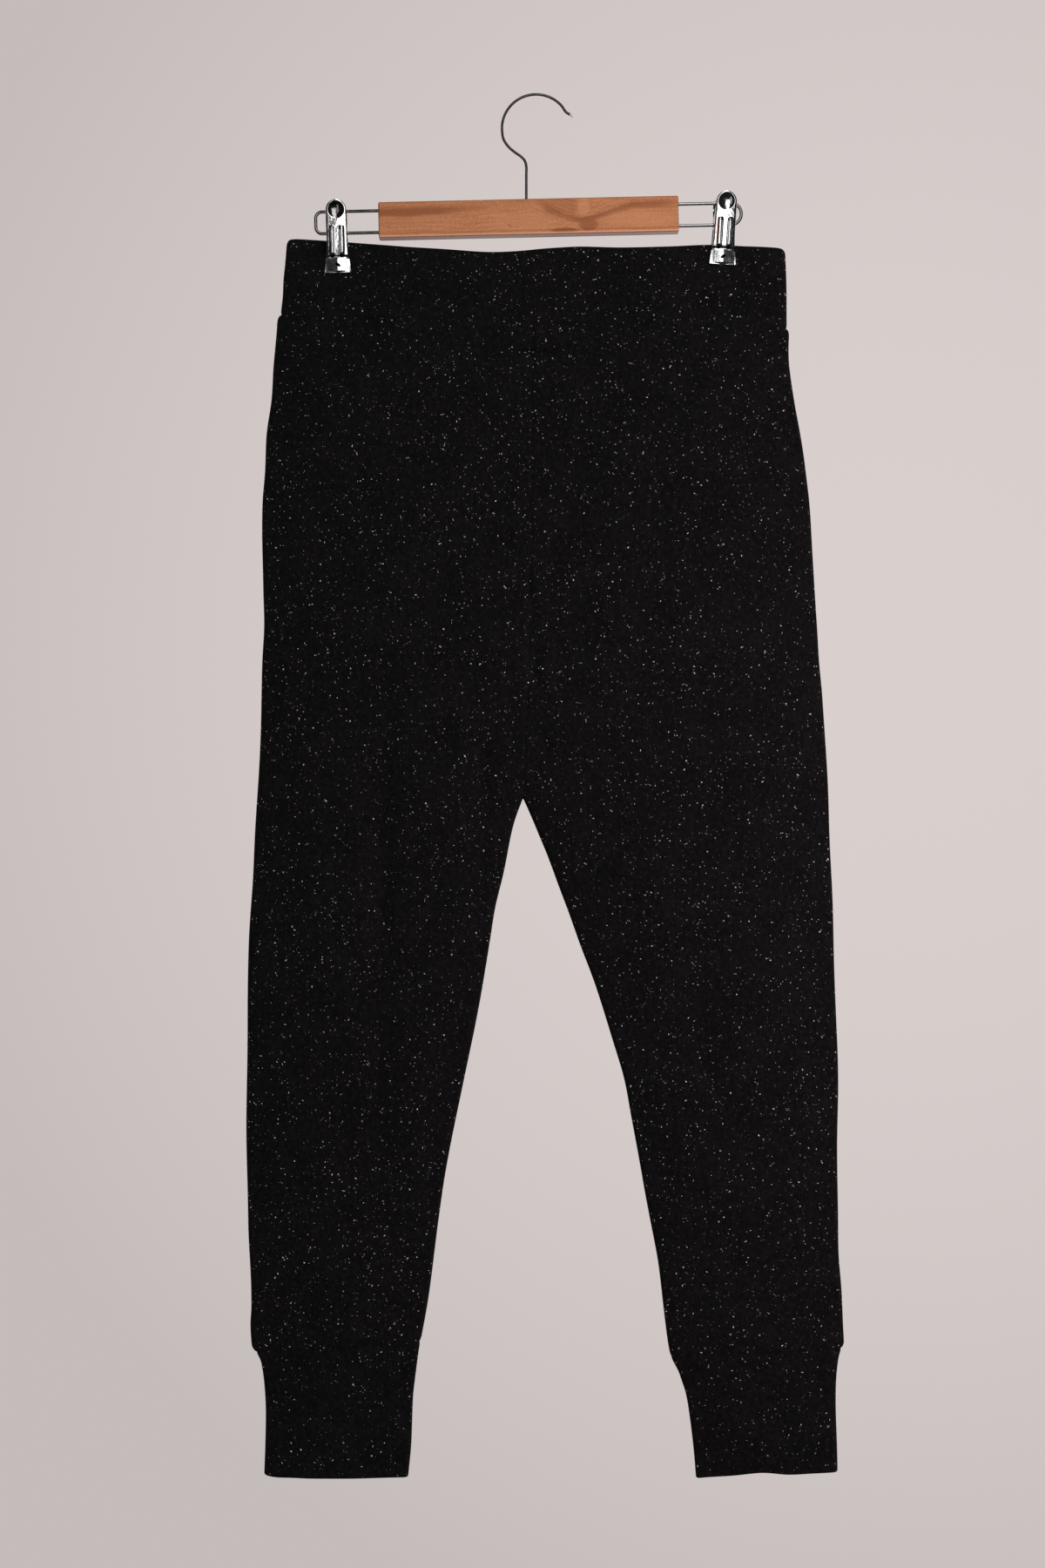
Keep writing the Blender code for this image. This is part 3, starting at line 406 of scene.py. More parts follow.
def steel(name, dull, bright, smooth_finish, metallic=1.0):
    """Drawn or turned steel, rubbed unevenly, whose colour and roughness vary a little."""
    material, wear, sockets = new_material(name, metallic=metallic)
    rub = noise(wear.node("ShaderNodeTexCoord", output="Object"), 300.0, 3.0)
    blend(rub.step(0.35, 0.70), dull, bright).feed(sockets["Base Color"])
    (smooth_finish + 0.14 * rub).feed(sockets["Roughness"])
    return material


hook_steel = steel("hook_steel", (0.10, 0.098, 0.098, 1.0), (0.16, 0.156, 0.154, 1.0), 0.20)


def fit(piece, node=None):
    """Adds a finished piece to the part's one body, in place of a solid where one is named."""
    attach(piece, "root")
    if node:
        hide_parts(node)


def tube(name, points, radius, material, node):
    """A round wire through the points, with closed ends."""
    curve = bpy.data.curves.new(name, "CURVE")
    curve.dimensions = "3D"
    curve.bevel_depth = radius
    curve.bevel_resolution = 5
    curve.use_fill_caps = True
    spline = curve.splines.new("POLY")
    spline.points.add(len(points) - 1)
    for k, point in enumerate(points):
        spline.points[k].co = (*point, 1.0)
    spline.use_smooth = True
    curve.materials.append(material)
    fit(link(name, curve), node)


def hook_route():
    """Points of the hook from its tip over the crown and down the shank into the bar."""
    route = [Vector((x, 0.0, z)) for x, z in HOOK_TIP]
    for step in range(CROWN_STEPS + 1):
        angle = CROWN_START + (CROWN_END - CROWN_START) * step / CROWN_STEPS
        outward = Vector((math.cos(angle), 0.0, math.sin(angle)))
        route.append(Vector((0.0, 0.0, CROWN_CENTRE_Z)) + CROWN_RADIUS * outward)
    route += [Vector((x, 0.0, z)) for x, z in HOOK_NECK]
    route.append(route[-1] + (SHANK_END - route[-1]).normalized() * SHANK_EASE)
    extended = [route[0]] + route + [route[-1]]
    points = []
    for k in range(1, len(extended) - 2):
        a, b, c, d = extended[k - 1:k + 3]
        for step in range(ROUTE_STEPS):
            t = step / ROUTE_STEPS
            bend = (2 * a - 5 * b + 4 * c - d) * t ** 2 + (3 * b - a - 3 * c + d) * t ** 3
            points.append((2 * b + (c - a) * t + bend) / 2)
    return points + [route[-1], SHANK_END]


def ring_faces(rings, sides):
    """Faces of a closed tube through rings of points, with a cap on the first ring and on the last."""
    last = (rings - 1) * sides
    faces = []
    for low in range(0, last, sides):
        for k in range(sides):
            after = (k + 1) % sides
            faces.append((low + k, low + after, low + sides + after, low + sides + k))
    return faces + [tuple(range(sides - 1, -1, -1)), tuple(range(last, last + sides))]


def ball_tip(place, way):
    """Points and faces of a ball with a short collar, turned about the wire's line at its tip."""
    profile = [(BALL_COLLAR, BALL_REACH), (BALL_COLLAR, BALL_RADIUS * BALL_SHOULDER)]
    for turn in BALL_TURNS:
        angle = math.radians(turn)
        profile.append((BALL_RADIUS * math.sin(angle), BALL_RADIUS * math.cos(angle)))
    depth = Vector((0.0, 1.0, 0.0))
    across = way.cross(depth)
    points = []
    for radius, reach in profile:
        for k in range(BALL_SIDES):
            angle = math.tau * k / BALL_SIDES
            side = across * math.cos(angle) + depth * math.sin(angle)
            points.append(place + way * reach + side * radius)
    return points, ring_faces(len(profile), BALL_SIDES)


route = hook_route()
tube("wire_hook", route, HOOK_RADIUS, hook_steel, "hanger_hook")
ball_steel = steel("ball_steel", (0.78, 0.77, 0.75, 1.0), (0.95, 0.95, 0.94, 1.0), 0.12, metallic=0.35)
points, faces = ball_tip(route[0], (route[1] - route[0]).normalized())
fit(mesh_object("hook_ball", points, faces, ball_steel, sharp=50.0))


# A loop of the same steel wire is pressed into each end of the bar. The clips slide along it and can't
# come off past its bent end.
WIRE_RADIUS = 0.0014
WIRE_UPPER = 0.0088
WIRE_LOWER = -0.0089
WIRE_END = 0.1735
WIRE_BURIED = 0.0380
CORNER_STEPS = 16
wire_steel = steel("bright_wire", (0.36, 0.357, 0.354, 1.0), (0.48, 0.474, 0.468, 1.0), 0.10)
HANGER = Matrix.Translation(BAR_CENTRE) @ Matrix.Rotation(BAR_TILT, 4, "Y")
Clip = namedtuple("Clip", "side x lean wire_corner twist jaw_twist")
CLIPS = [
    Clip("left", -0.1564, math.radians(-1.9), 0.0052, math.radians(2.8), math.radians(0.1)),
    Clip("right", 0.1592, math.radians(3.0), 0.0086, math.radians(2.6), math.radians(2.2)),
]

for clip in CLIPS:
    way = math.copysign(1.0, clip.x)
    start = way * (BAR_SIZE[0] / 2 - WIRE_BURIED)
    points = [Vector((start, 0.0, WIRE_UPPER))]
    for height, first in ((WIRE_UPPER - clip.wire_corner, 90.0), (WIRE_LOWER + clip.wire_corner, 0.0)):
        for step in range(CORNER_STEPS + 1):
            angle = math.radians(first - 90.0 * step / CORNER_STEPS)
            x = WIRE_END - clip.wire_corner + clip.wire_corner * math.cos(angle)
            points.append(Vector((way * x, 0.0, height + clip.wire_corner * math.sin(angle))))
    points.append(Vector((start, 0.0, WIRE_LOWER)))
    bent = [HANGER @ point for point in points]
    tube(f"wire_slide_{clip.side}", bent, WIRE_RADIUS, wire_steel, f"wire_loop_{clip.side}")


# Each clip's spring is wound from thin steel wire round the lower run of the loop, between its leaves,
# and its two ends stand up and push the finger tabs apart.
COIL_RADIUS = 0.0027
COIL_WIRE = 0.00045
COIL_TURNS = 9
COIL_LENGTH = 0.0118
COIL_STEPS = 20
ARM_LENGTH = 0.0125
ARM_LEAN = 0.0046

for clip in CLIPS:
    count = round((COIL_TURNS - 0.5) * COIL_STEPS)
    coil = []
    for k in range(count + 1):
        angle = math.pi + math.tau * k / COIL_STEPS
        x = clip.x + COIL_LENGTH * (k / count - 0.5)
        coil.append(Vector((x, COIL_RADIUS * math.cos(angle), WIRE_LOWER + COIL_RADIUS * math.sin(angle))))
    front_arm = coil[0] + Vector((0.0, -ARM_LEAN, ARM_LENGTH))
    back_arm = coil[-1] + Vector((0.0, ARM_LEAN, ARM_LENGTH))
    turns = [HANGER @ point for point in (front_arm, *coil, back_arm)]
    tube(f"coil_spring_{clip.side}", turns, COIL_WIRE, wire_steel, f"clip_spring_{clip.side}")


# The clips are pairs of leaves pressed from thin steel sheet and chromed. Each has two stiffening ribs,
# sides folded back round the spring, a round dished tab for the fingers and a flared jaw.
LEAF_SHEET = 0.0008
LEAF_PITCH = 0.00040
LeafRow = namedtuple("LeafRow", "z half stand lip turn rib")
LEAF = [LeafRow(*row) for row in (
    (-0.0330, 0.0107, 0.0045, 0.0011, 0.0, 0.0), (-0.0321, 0.0106, 0.0043, 0.0011, 0.0, 0.0),
    (-0.0222, 0.0097, 0.0044, 0.0012, 0.1, 0.0), (-0.0202, 0.0094, 0.0051, 0.0016, 0.5, 0.0),
    (-0.0190, 0.0092, 0.0058, 0.0019, 0.9, 0.5), (-0.0172, 0.0091, 0.0062, 0.0021, 1.0, 1.0),
    (-0.0120, 0.0088, 0.0066, 0.0027, 1.0, 1.0), (-0.0056, 0.0086, 0.0072, 0.0033, 1.0, 1.0),
    (-0.0038, 0.0086, 0.0074, 0.0071, 1.0, 1.0), (0.0012, 0.0086, 0.0080, 0.0077, 1.0, 1.0),
    (0.0030, 0.0086, 0.0082, 0.0078, 1.0, 0.6), (0.0048, 0.0086, 0.0084, 0.0078, 1.0, 0.0),
    (0.0086, 0.0086, 0.0089, 0.0035, 1.0, 0.0), (0.0135, 0.0085, 0.0098, 0.0021, 0.9, 0.0),
    (0.0167, 0.0085, 0.0104, 0.0017, 0.8, 0.0),
)]
TAB_RADIUS = 0.0085
TAB_SLOPE = 0.17
TAB_TURNS = [8.0, 16.0, 24.0, 32.0, 40.0, 48.0, 55.0, 62.0, 69.0, 75.0, 81.0, 86.0]
TAB_LIP = 0.0013
TAB_TURN = 0.7
BEND_RADIUS = 0.0011
LIP_STEPS = 5
ROUNDED_LEAST = 0.0004
LIP_LEAST = 0.0002
RIB_PLACE = 0.0040
RIB_HALF = 0.0015
RIB_HEIGHT = 0.0015
DISH_CENTRE = 0.0170
DISH_RADIUS = 0.0066
DISH_DEPTH = 0.0016
DISH_ROUNDNESS = 0.8
JAW_TOP = -0.0205
JAW_FOOT = -0.0328
JAW_FACET = 0.0012
FACET_TOP_RUN = 0.0020
FACET_FOOT_RUN = 0.0012
FACE_CROWN = 0.00025
TWIST_RUN = 0.012
FACE_EDGE = 0.0070
FACE_MARGIN = 0.0004
RIB_COLUMNS = [0.0022 + 0.00015 * k for k in range(25)]
FACE_HALF = [0.0, 0.0006, 0.0012, 0.0018, *RIB_COLUMNS, 0.0062, 0.0066, FACE_EDGE]
FACE_COLUMNS = [-x for x in reversed(FACE_HALF[1:])] + FACE_HALF
NOTCH_RADIUS = 0.0023
CUTTER_REACH = 0.02
CUTTER_SIDES = 28
Hole = namedtuple("Hole", "name x z half_x half_z slant")
HOLES = [
    Hole("jaw_hole", 0.0004, -0.0268, 0.0024, 0.0013, math.radians(35.0)),
    Hole("rib_hole_a", -RIB_PLACE, -0.0199, 0.0017, 0.0010, 0.0),
    Hole("rib_hole_b", RIB_PLACE, -0.0199, 0.0017, 0.0010, 0.0),
]
CHROME_BRIGHT = (0.86, 0.86, 0.86, 1.0)
# Dark colour of the pits, and of the painted dark reflection in the left clip's dish
CHROME_PITS_AND_REFLECTION = (0.16, 0.14, 0.13, 1.0)

chrome, polish, chrome_sockets = new_material("chromed_steel", metallic=1.0)
plating = polish.node("ShaderNodeTexCoord", output="Object")
height = polish.node("ShaderNodeSeparateXYZ", {}, {"Vector": plating}, output="Z")
swirl = noise(plating, 240.0, 2.0)
pits = noise(plating, 900.0, 2.0)
rubbed = 1.0 - height.step(JAW_TOP - 0.0010, JAW_TOP)
flat_place = polish.node("ShaderNodeVectorMath", {"operation": "MULTIPLY"}, {0: plating, 1: (1.0, 0.0, 1.0)})
from_dish = polish.node(
    "ShaderNodeVectorMath", {"operation": "DISTANCE"},
    {0: flat_place, 1: (0.0, 0.0, DISH_CENTRE)}, output="Value",
)
hanger_x = polish.node(
    "ShaderNodeSeparateXYZ", {}, {"Vector": polish.node("ShaderNodeNewGeometry", output="Position")},
)
# Painted reflection: the left clip's dish is darkened in its colour, standing in for the dark surroundings
# mirrored in it. Fine pits, more on the rubbed jaw, darken the chrome as well.
painted_dish_reflection = (1.0 - from_dish.step(0.85 * DISH_RADIUS, DISH_RADIUS)) * (1.0 - hanger_x.step(-0.01, 0.01))
pits_and_painted_reflection = (pits.step(0.60, 0.70) * (0.20 + 0.65 * rubbed)).at_least(painted_dish_reflection * (1.0 - 0.5 * swirl))
blend(pits_and_painted_reflection, CHROME_BRIGHT, CHROME_PITS_AND_REFLECTION).feed(chrome_sockets["Base Color"])
(0.08 + 0.10 * swirl + 0.14 * rubbed * swirl).feed(chrome_sockets["Roughness"])
polish.node(
    "ShaderNodeBump", {},
    {"Strength": 0.5, "Distance": 0.00034, "Height": swirl + (0.05 + 0.25 * rubbed) * pits},
).feed(chrome_sockets["Normal"])


def wall_faces(rows, cols, ring):
    """Quads of a closed wall between two grids of points, the outer one first."""
    index = np.arange(2 * rows * cols).reshape(2, rows, cols)
    if ring:
        index = np.concatenate((index, index[:, :, :1]), axis=2)
    corners = (index[:, :-1, :-1], index[:, :-1, 1:], index[:, 1:, 1:], index[:, 1:, :-1])
    quads = np.stack(corners, axis=3)
    loops = [quads[0].reshape(-1, 4), quads[1][..., ::-1].reshape(-1, 4)]
    outer, inner = index
    loops.append(np.stack((outer[0, 1:], outer[0, :-1], inner[0, :-1], inner[0, 1:]), axis=1))
    loops.append(np.stack((outer[-1, :-1], outer[-1, 1:], inner[-1, 1:], inner[-1, :-1]), axis=1))
    if not ring:
        loops.append(np.stack((outer[:-1, 0], outer[1:, 0], inner[1:, 0], inner[:-1, 0]), axis=1))
        loops.append(np.stack((outer[1:, -1], outer[:-1, -1], inner[:-1, -1], inner[1:, -1]), axis=1))
    return np.concatenate(loops)


def closed_wall(name, outer, inner, material, ring=False, sharp=60.0):
    """A closed wall between two skins, its faces turned outwards."""
    rows, cols = outer.shape[:2]
    points = np.concatenate((outer.reshape(-1, 3), inner.reshape(-1, 3)))
    faces = wall_faces(rows, cols, ring)
    a, b, c, d = (points[faces[:, k]] for k in range(4))
    volume = np.einsum("ij,ij->i", a, np.cross(b, c) + np.cross(c, d)).sum()
    if volume < 0:
        faces = faces[:, ::-1]
    return mesh_object(name, points.tolist(), faces.tolist(), material, sharp)


def mix(a, b, t):
    return a + (b - a) * t


def smooth(t):
    """An eased step from 0 to 1."""
    t = np.clip(t, 0.0, 1.0)
    return t * t * (3.0 - 2.0 * t)


def leaf_rows():
    """The leaf's sections, from the jaw's lip up, eased from one row of the table to the next."""
    low, high = LEAF[0].z, LEAF[-1].z
    count = round((high - low) / LEAF_PITCH)
    rows = []
    for k in range(count):
        z = low + (high - low) * k / count
        i = max(j for j in range(len(LEAF) - 1) if LEAF[j].z <= z + 1e-9)
        t = (z - LEAF[i].z) / (LEAF[i + 1].z - LEAF[i].z)
        shares = (t, t, t, smooth(t), smooth(t), smooth(t))
        rows.append(LeafRow(*map(mix, LEAF[i], LEAF[i + 1], shares)))
    rows.append(LEAF[-1])
    for degrees in TAB_TURNS:
        rise = TAB_RADIUS * math.sin(math.radians(degrees))
        half = TAB_RADIUS * math.cos(math.radians(degrees))
        rows.append(LeafRow(high + rise, half, LEAF[-1].stand + TAB_SLOPE * rise, TAB_LIP, TAB_TURN, 0.0))
    return rows


def leaf_line(row):
    """A leaf at one height, from lip to lip: its face without the ribs, and how far they stand up."""
    turn = row.turn * math.pi / 2
    bend = min(BEND_RADIUS, row.half / 2)
    rounded = max(bend * turn, ROUNDED_LEAST)
    runs = [rounded * step / LIP_STEPS for step in range(LIP_STEPS + 1)]
    runs.append(max(row.lip, rounded + LIP_LEAST))
    lip = []
    for run in runs:
        angle = min(run / bend, turn)
        past = run - bend * angle
        x = row.half - bend + bend * math.sin(angle) + past * math.cos(turn)
        lip.append((x, row.stand - bend * (1.0 - math.cos(angle)) - past * math.sin(turn)))
    squeeze = min((row.half - bend) / (FACE_EDGE + FACE_MARGIN), 1.0)
    from_top = min(max(JAW_TOP - row.z, 0.0) / FACET_TOP_RUN, 1.0)
    from_foot = min(max(row.z - JAW_FOOT, 0.0) / FACET_FOOT_RUN, 1.0)
    facet = JAW_FACET * from_top * from_foot
    face, ridges = [], []
    for place in FACE_COLUMNS:
        x = place * squeeze
        beside = abs(abs(x) - RIB_PLACE)
        ridges.append(row.rib * RIB_HEIGHT * math.exp(-(beside / RIB_HALF) ** 4))
        reach = math.hypot(x, row.z - DISH_CENTRE) / DISH_RADIUS
        out = row.stand + FACE_CROWN * (1.0 - (x / row.half) ** 2)
        out -= DISH_DEPTH * max(1.0 - reach ** 2, 0.0) ** DISH_ROUNDNESS
        face.append((x, out + facet * (1.0 - abs(x) / row.half)))
    line = [(-x, y) for x, y in reversed(lip)] + face + lip
    flat = [0.0] * len(lip)
    return np.array(line), np.array(flat + ridges + flat)


def leaf_wall(out, clip):
    """The two skins of a leaf, for the front (out is -1) or the back (1). It is turned a little on the
    wire, and its jaw, held by the cloth, is turned by another angle."""
    outer, inner = [], []
    for row in leaf_rows():
        line, ridges = leaf_line(row)
        run = np.gradient(line, axis=0)
        run /= np.linalg.norm(run, axis=1, keepdims=True)
        away = np.stack((-run[:, 1], run[:, 0]), axis=1)
        turn = mix(clip.jaw_twist, clip.twist, smooth((row.z - JAW_TOP) / TWIST_RUN))
        c, s = math.cos(turn), math.sin(turn)
        for skin, points in ((outer, line + away * ridges[:, None]), (inner, line - away * LEAF_SHEET)):
            skin.append([(x * c - out * y * s, x * s + out * y * c, row.z) for x, y in points])
    return np.array(outer), np.array(inner)


def cutter(name, half_x, half_y, place):
    """A hidden cylinder, round or oval, along its own Z, that cuts a hole right through a clip."""
    turns = [math.tau * k / CUTTER_SIDES for k in range(CUTTER_SIDES)]
    points = [
        place @ Vector((half_x * math.cos(turn), half_y * math.sin(turn), z))
        for z in (-CUTTER_REACH, CUTTER_REACH) for turn in turns
    ]
    mesh = bpy.data.meshes.new(name)
    mesh.from_pydata(points, [], ring_faces(2, CUTTER_SIDES))
    tool = link(name, mesh)
    tool.hide_render = True
    tool.display_type = "WIRE"
    return tool


SIDEWAYS = Matrix.Rotation(math.pi / 2, 4, "Y")
THROUGH = Matrix.Rotation(math.pi / 2, 4, "X")
for clip in CLIPS:
    pivot = HANGER @ Vector((clip.x, 0.0, WIRE_LOWER))
    stance = Matrix.Translation(pivot) @ Matrix.Rotation(clip.lean, 4, "Y")
    wire_axis = HANGER @ Matrix.Translation((clip.x, 0.0, WIRE_LOWER)) @ SIDEWAYS
    tools = [cutter(f"notch_{clip.side}", NOTCH_RADIUS, NOTCH_RADIUS, wire_axis)]
    for hole in HOLES:
        slant = Matrix.Rotation(math.copysign(hole.slant, clip.x), 4, "Z")
        place = stance @ Matrix.Translation((hole.x, 0.0, hole.z)) @ THROUGH @ slant
        tools.append(cutter(f"{hole.name}_{clip.side}", hole.half_x, hole.half_z, place))
    for face, out in (("front", -1.0), ("back", 1.0)):
        outer, inner = leaf_wall(out, clip)
        leaf = closed_wall(f"leaf_{face}_{clip.side}", outer, inner, chrome, sharp=50.0)
        leaf.matrix_world = stance
        for tool in tools:
            bore = leaf.modifiers.new(tool.name, "BOOLEAN")
            bore.operation = "DIFFERENCE"
            bore.solver = "EXACT"
            bore.object = tool
        fit(leaf, f"clip_{face}_{clip.side}")


# The knit is a heavy black brushed sweatshirt cloth, matt and deep, with a fine metallic yarn laid in.
# The dimmest turns of that yarn lie below the surface and only lighten the black in tiny dots.
KNIT_BLACK = (0.0027, 0.0028, 0.0028, 1.0)
KNIT_SHADE = (0.0070, 0.0072, 0.0072, 1.0)
BURIED_YARN = (0.034, 0.034, 0.035, 1.0)
YARN_PITCH = 330.0

knit, yarn, knit_sockets = new_material(
    "black_knit", specular_ior_level=0.09, sheen_weight=0.012, sheen_roughness=0.5,
)
place = yarn.node("ShaderNodeTexCoord", output="Object")
stretched = yarn.node("ShaderNodeMapping", {}, {"Vector": place, "Scale": (1.0, 1.0, 0.80)})
mottle = noise(place, 38.0, 3.0)
clumps = noise(stretched, YARN_PITCH, 2.0)
loops = noise(stretched, 1500.0, 1.5)
dots = yarn.node("ShaderNodeTexVoronoi", {}, {"Vector": stretched, "Scale": YARN_PITCH, "Randomness": 1.0})
chosen = yarn.node("ShaderNodeSeparateColor", {}, {"Color": dots.other("Color")})
dot_mask = (1.0 - dots.step(0.08, 0.19)) * chosen.step(0.62, 0.70)
shaded = (0.4 * mottle.step(0.3, 0.7) + 0.8 * clumps.step(0.42, 0.60)) * loops
blend(dot_mask * 0.8, blend(shaded, KNIT_BLACK, KNIT_SHADE), BURIED_YARN).feed(knit_sockets["Base Color"])
(0.80 + 0.16 * loops).feed(knit_sockets["Roughness"])
yarn.node(
    "ShaderNodeBump", {}, {"Strength": 0.5, "Distance": 0.00016, "Height": loops + 0.6 * mottle},
).feed(knit_sockets["Normal"])


# The cloth hangs in two layers, front and back, folded over at the sides. Its edges are measured from
# the front, and its two layers stand apart most at the seat and least where the clips press on it.
SEAM_GAP = 0.0003
SEAM_LAP = 0.0002
PANEL_WALL = 0.0016
DOUBLE_WALL = 0.0030
FACING_WALL = 0.0012
WAIST_SEAM = -0.1860
CROTCH = -0.5729
FACES = {"front": -1.0, "back": 1.0}


def millimetres(kind, *rows):
    """Rows of a table of lengths and places that are given in millimetres."""
    return [kind(*(length / 1000.0 for length in row)) for row in rows]


Edge = namedtuple("Edge", "z x")
LEFT_SIDE = millimetres(
    Edge,
    (-178.8, -210.6), (-191.6, -211.4), (-220, -214.1), (-248.4, -215.8), (-276.8, -220),
    (-305.2, -221.4), (-333.6, -223.1), (-404.6, -222.7), (-433, -222), (-461.4, -223.4),
    (-518.2, -224.9), (-575, -227.6), (-631.8, -230.8), (-688.6, -234.2), (-773.8, -235.4),
    (-844.7, -236.3), (-915.8, -234.9), (-958.4, -232.8), (-986.8, -232.5), (-1001, -233.2),
    (-1018, -232.1), (-1023.8, -231),
)
RIGHT_SIDE = millimetres(
    Edge,
    (-190.2, 206.8), (-205.8, 206), (-220, 206.5), (-248.4, 210.6), (-276.8, 215.4), (-305.2, 219.7),
    (-333.6, 223.3), (-376.2, 225.4), (-433, 229), (-461.4, 230.5), (-489.8, 233.3), (-546.6, 236.9),
    (-603.4, 239.6), (-688.6, 242.6), (-745.4, 244.5), (-802.2, 246.6), (-859, 245.6), (-915.8, 246.2),
    (-944.2, 246.9), (-972.6, 249.1), (-1001, 250.3), (-1020.2, 251.4),
)
LEFT_INSEAM = millimetres(
    Edge,
    (-572.9, -10.7), (-589.2, -16.5), (-603.4, -20.2), (-631.8, -26.1), (-660.2, -32.7), (-688.6, -37.3),
    (-745.4, -47.4), (-802.2, -59), (-859, -70.2), (-915.8, -79.7), (-972.6, -86.4), (-1015.2, -94),
)
RIGHT_INSEAM = millimetres(
    Edge,
    (-572.9, -10.7), (-589.2, -3.3), (-603.4, 2.5), (-631.8, 13.6), (-688.6, 34.6), (-717, 45.2),
    (-745.4, 54.8), (-773.8, 63.3), (-802.2, 71.6), (-830.6, 77.1), (-887.4, 87.3), (-944.2, 98.4),
    (-986.8, 103.4), (-1027.3, 109),
)
CENTRE_SEAM = millimetres(Edge, (-120, -3), (-350, -4), (-480, -7), (-572.9, -10.7))
CuffRow = namedtuple("CuffRow", "z outer inner")
LEFT_CUFF = millimetres(
    CuffRow,
    (-1015.2, -229.2, -94.5), (-1023.8, -228.3, -95.9), (-1030.8, -224.7, -96.9),
    (-1043.6, -222.4, -98.6), (-1057.8, -221.2, -100.3), (-1072, -220.7, -101), (-1100.4, -221.1, -101.9),
    (-1125.4, -221.8, -104.2),
)
RIGHT_CUFF = millimetres(
    CuffRow,
    (-1020.2, 248.9, 109.5), (-1026.5, 246.9, 109.4), (-1030.8, 246.1, 111), (-1039.3, 245.1, 115.6),
    (-1047.8, 244.5, 118.4), (-1057.8, 244.2, 121.6), (-1072, 244.2, 124.2), (-1100.4, 245, 128.2),
    (-1123.5, 245.6, 130.2),
)
BandRow = namedtuple("BandRow", "z left right")
BAND_EDGES = millimetres(
    BandRow,
    (-118, -203.4, 202.8), (-134.8, -204.8, 203.6), (-149, -206.2, 204.3), (-163.2, -206.8, 204.6),
    (-178.8, -208.4, 204.6), (-190.2, -208.6, 204.6),
)
Level = namedtuple("Level", "x z")
BAND_TOP = millimetres(
    Level,
    (-205, -124), (-203, -119.6), (-200, -117.7), (-191.7, -117.5), (-149, -120.2), (-106.5, -124.5),
    (-53.2, -128.1), (-32, -128.9), (-10.6, -127.8), (32, -124.6), (74.6, -125.3), (104, -124.6),
    (138, -121.9), (170.4, -123.1), (195, -124.5), (200, -125.4), (202.4, -127), (204, -130),
)
BAND_SEAM = millimetres(Level, (-211, -178.8), (0, -186), (206.8, -190.2))

Swell = namedtuple("Swell", "z front back fold")
SWELL = millimetres(
    Swell,
    (-118, 8, 8, 4), (-150, 9, 9.5, 4.1), (-186, 10.5, 11.5, 4.2), (-200, 12.2, 13.5, 4.8),
    (-250, 12.8, 15, 5), (-350, 13, 17.2, 5), (-450, 13, 17.5, 5), (-540, 12.5, 15, 4.8),
    (-620, 11.5, 12.5, 4.6), (-720, 10.5, 11, 4.5), (-820, 9.6, 10, 4.5), (-920, 9, 9.3, 4.5),
    (-1000, 9.2, 9.4, 4.5), (-1020, 8.8, 8.8, 4.3), (-1040, 8.7, 8.7, 4.2), (-1126, 8.4, 8.4, 4.2),
)
SWELL_WIDTH = 0.085
SEAM_ROLL = 0.005
SEAM_SPREAD = 0.110

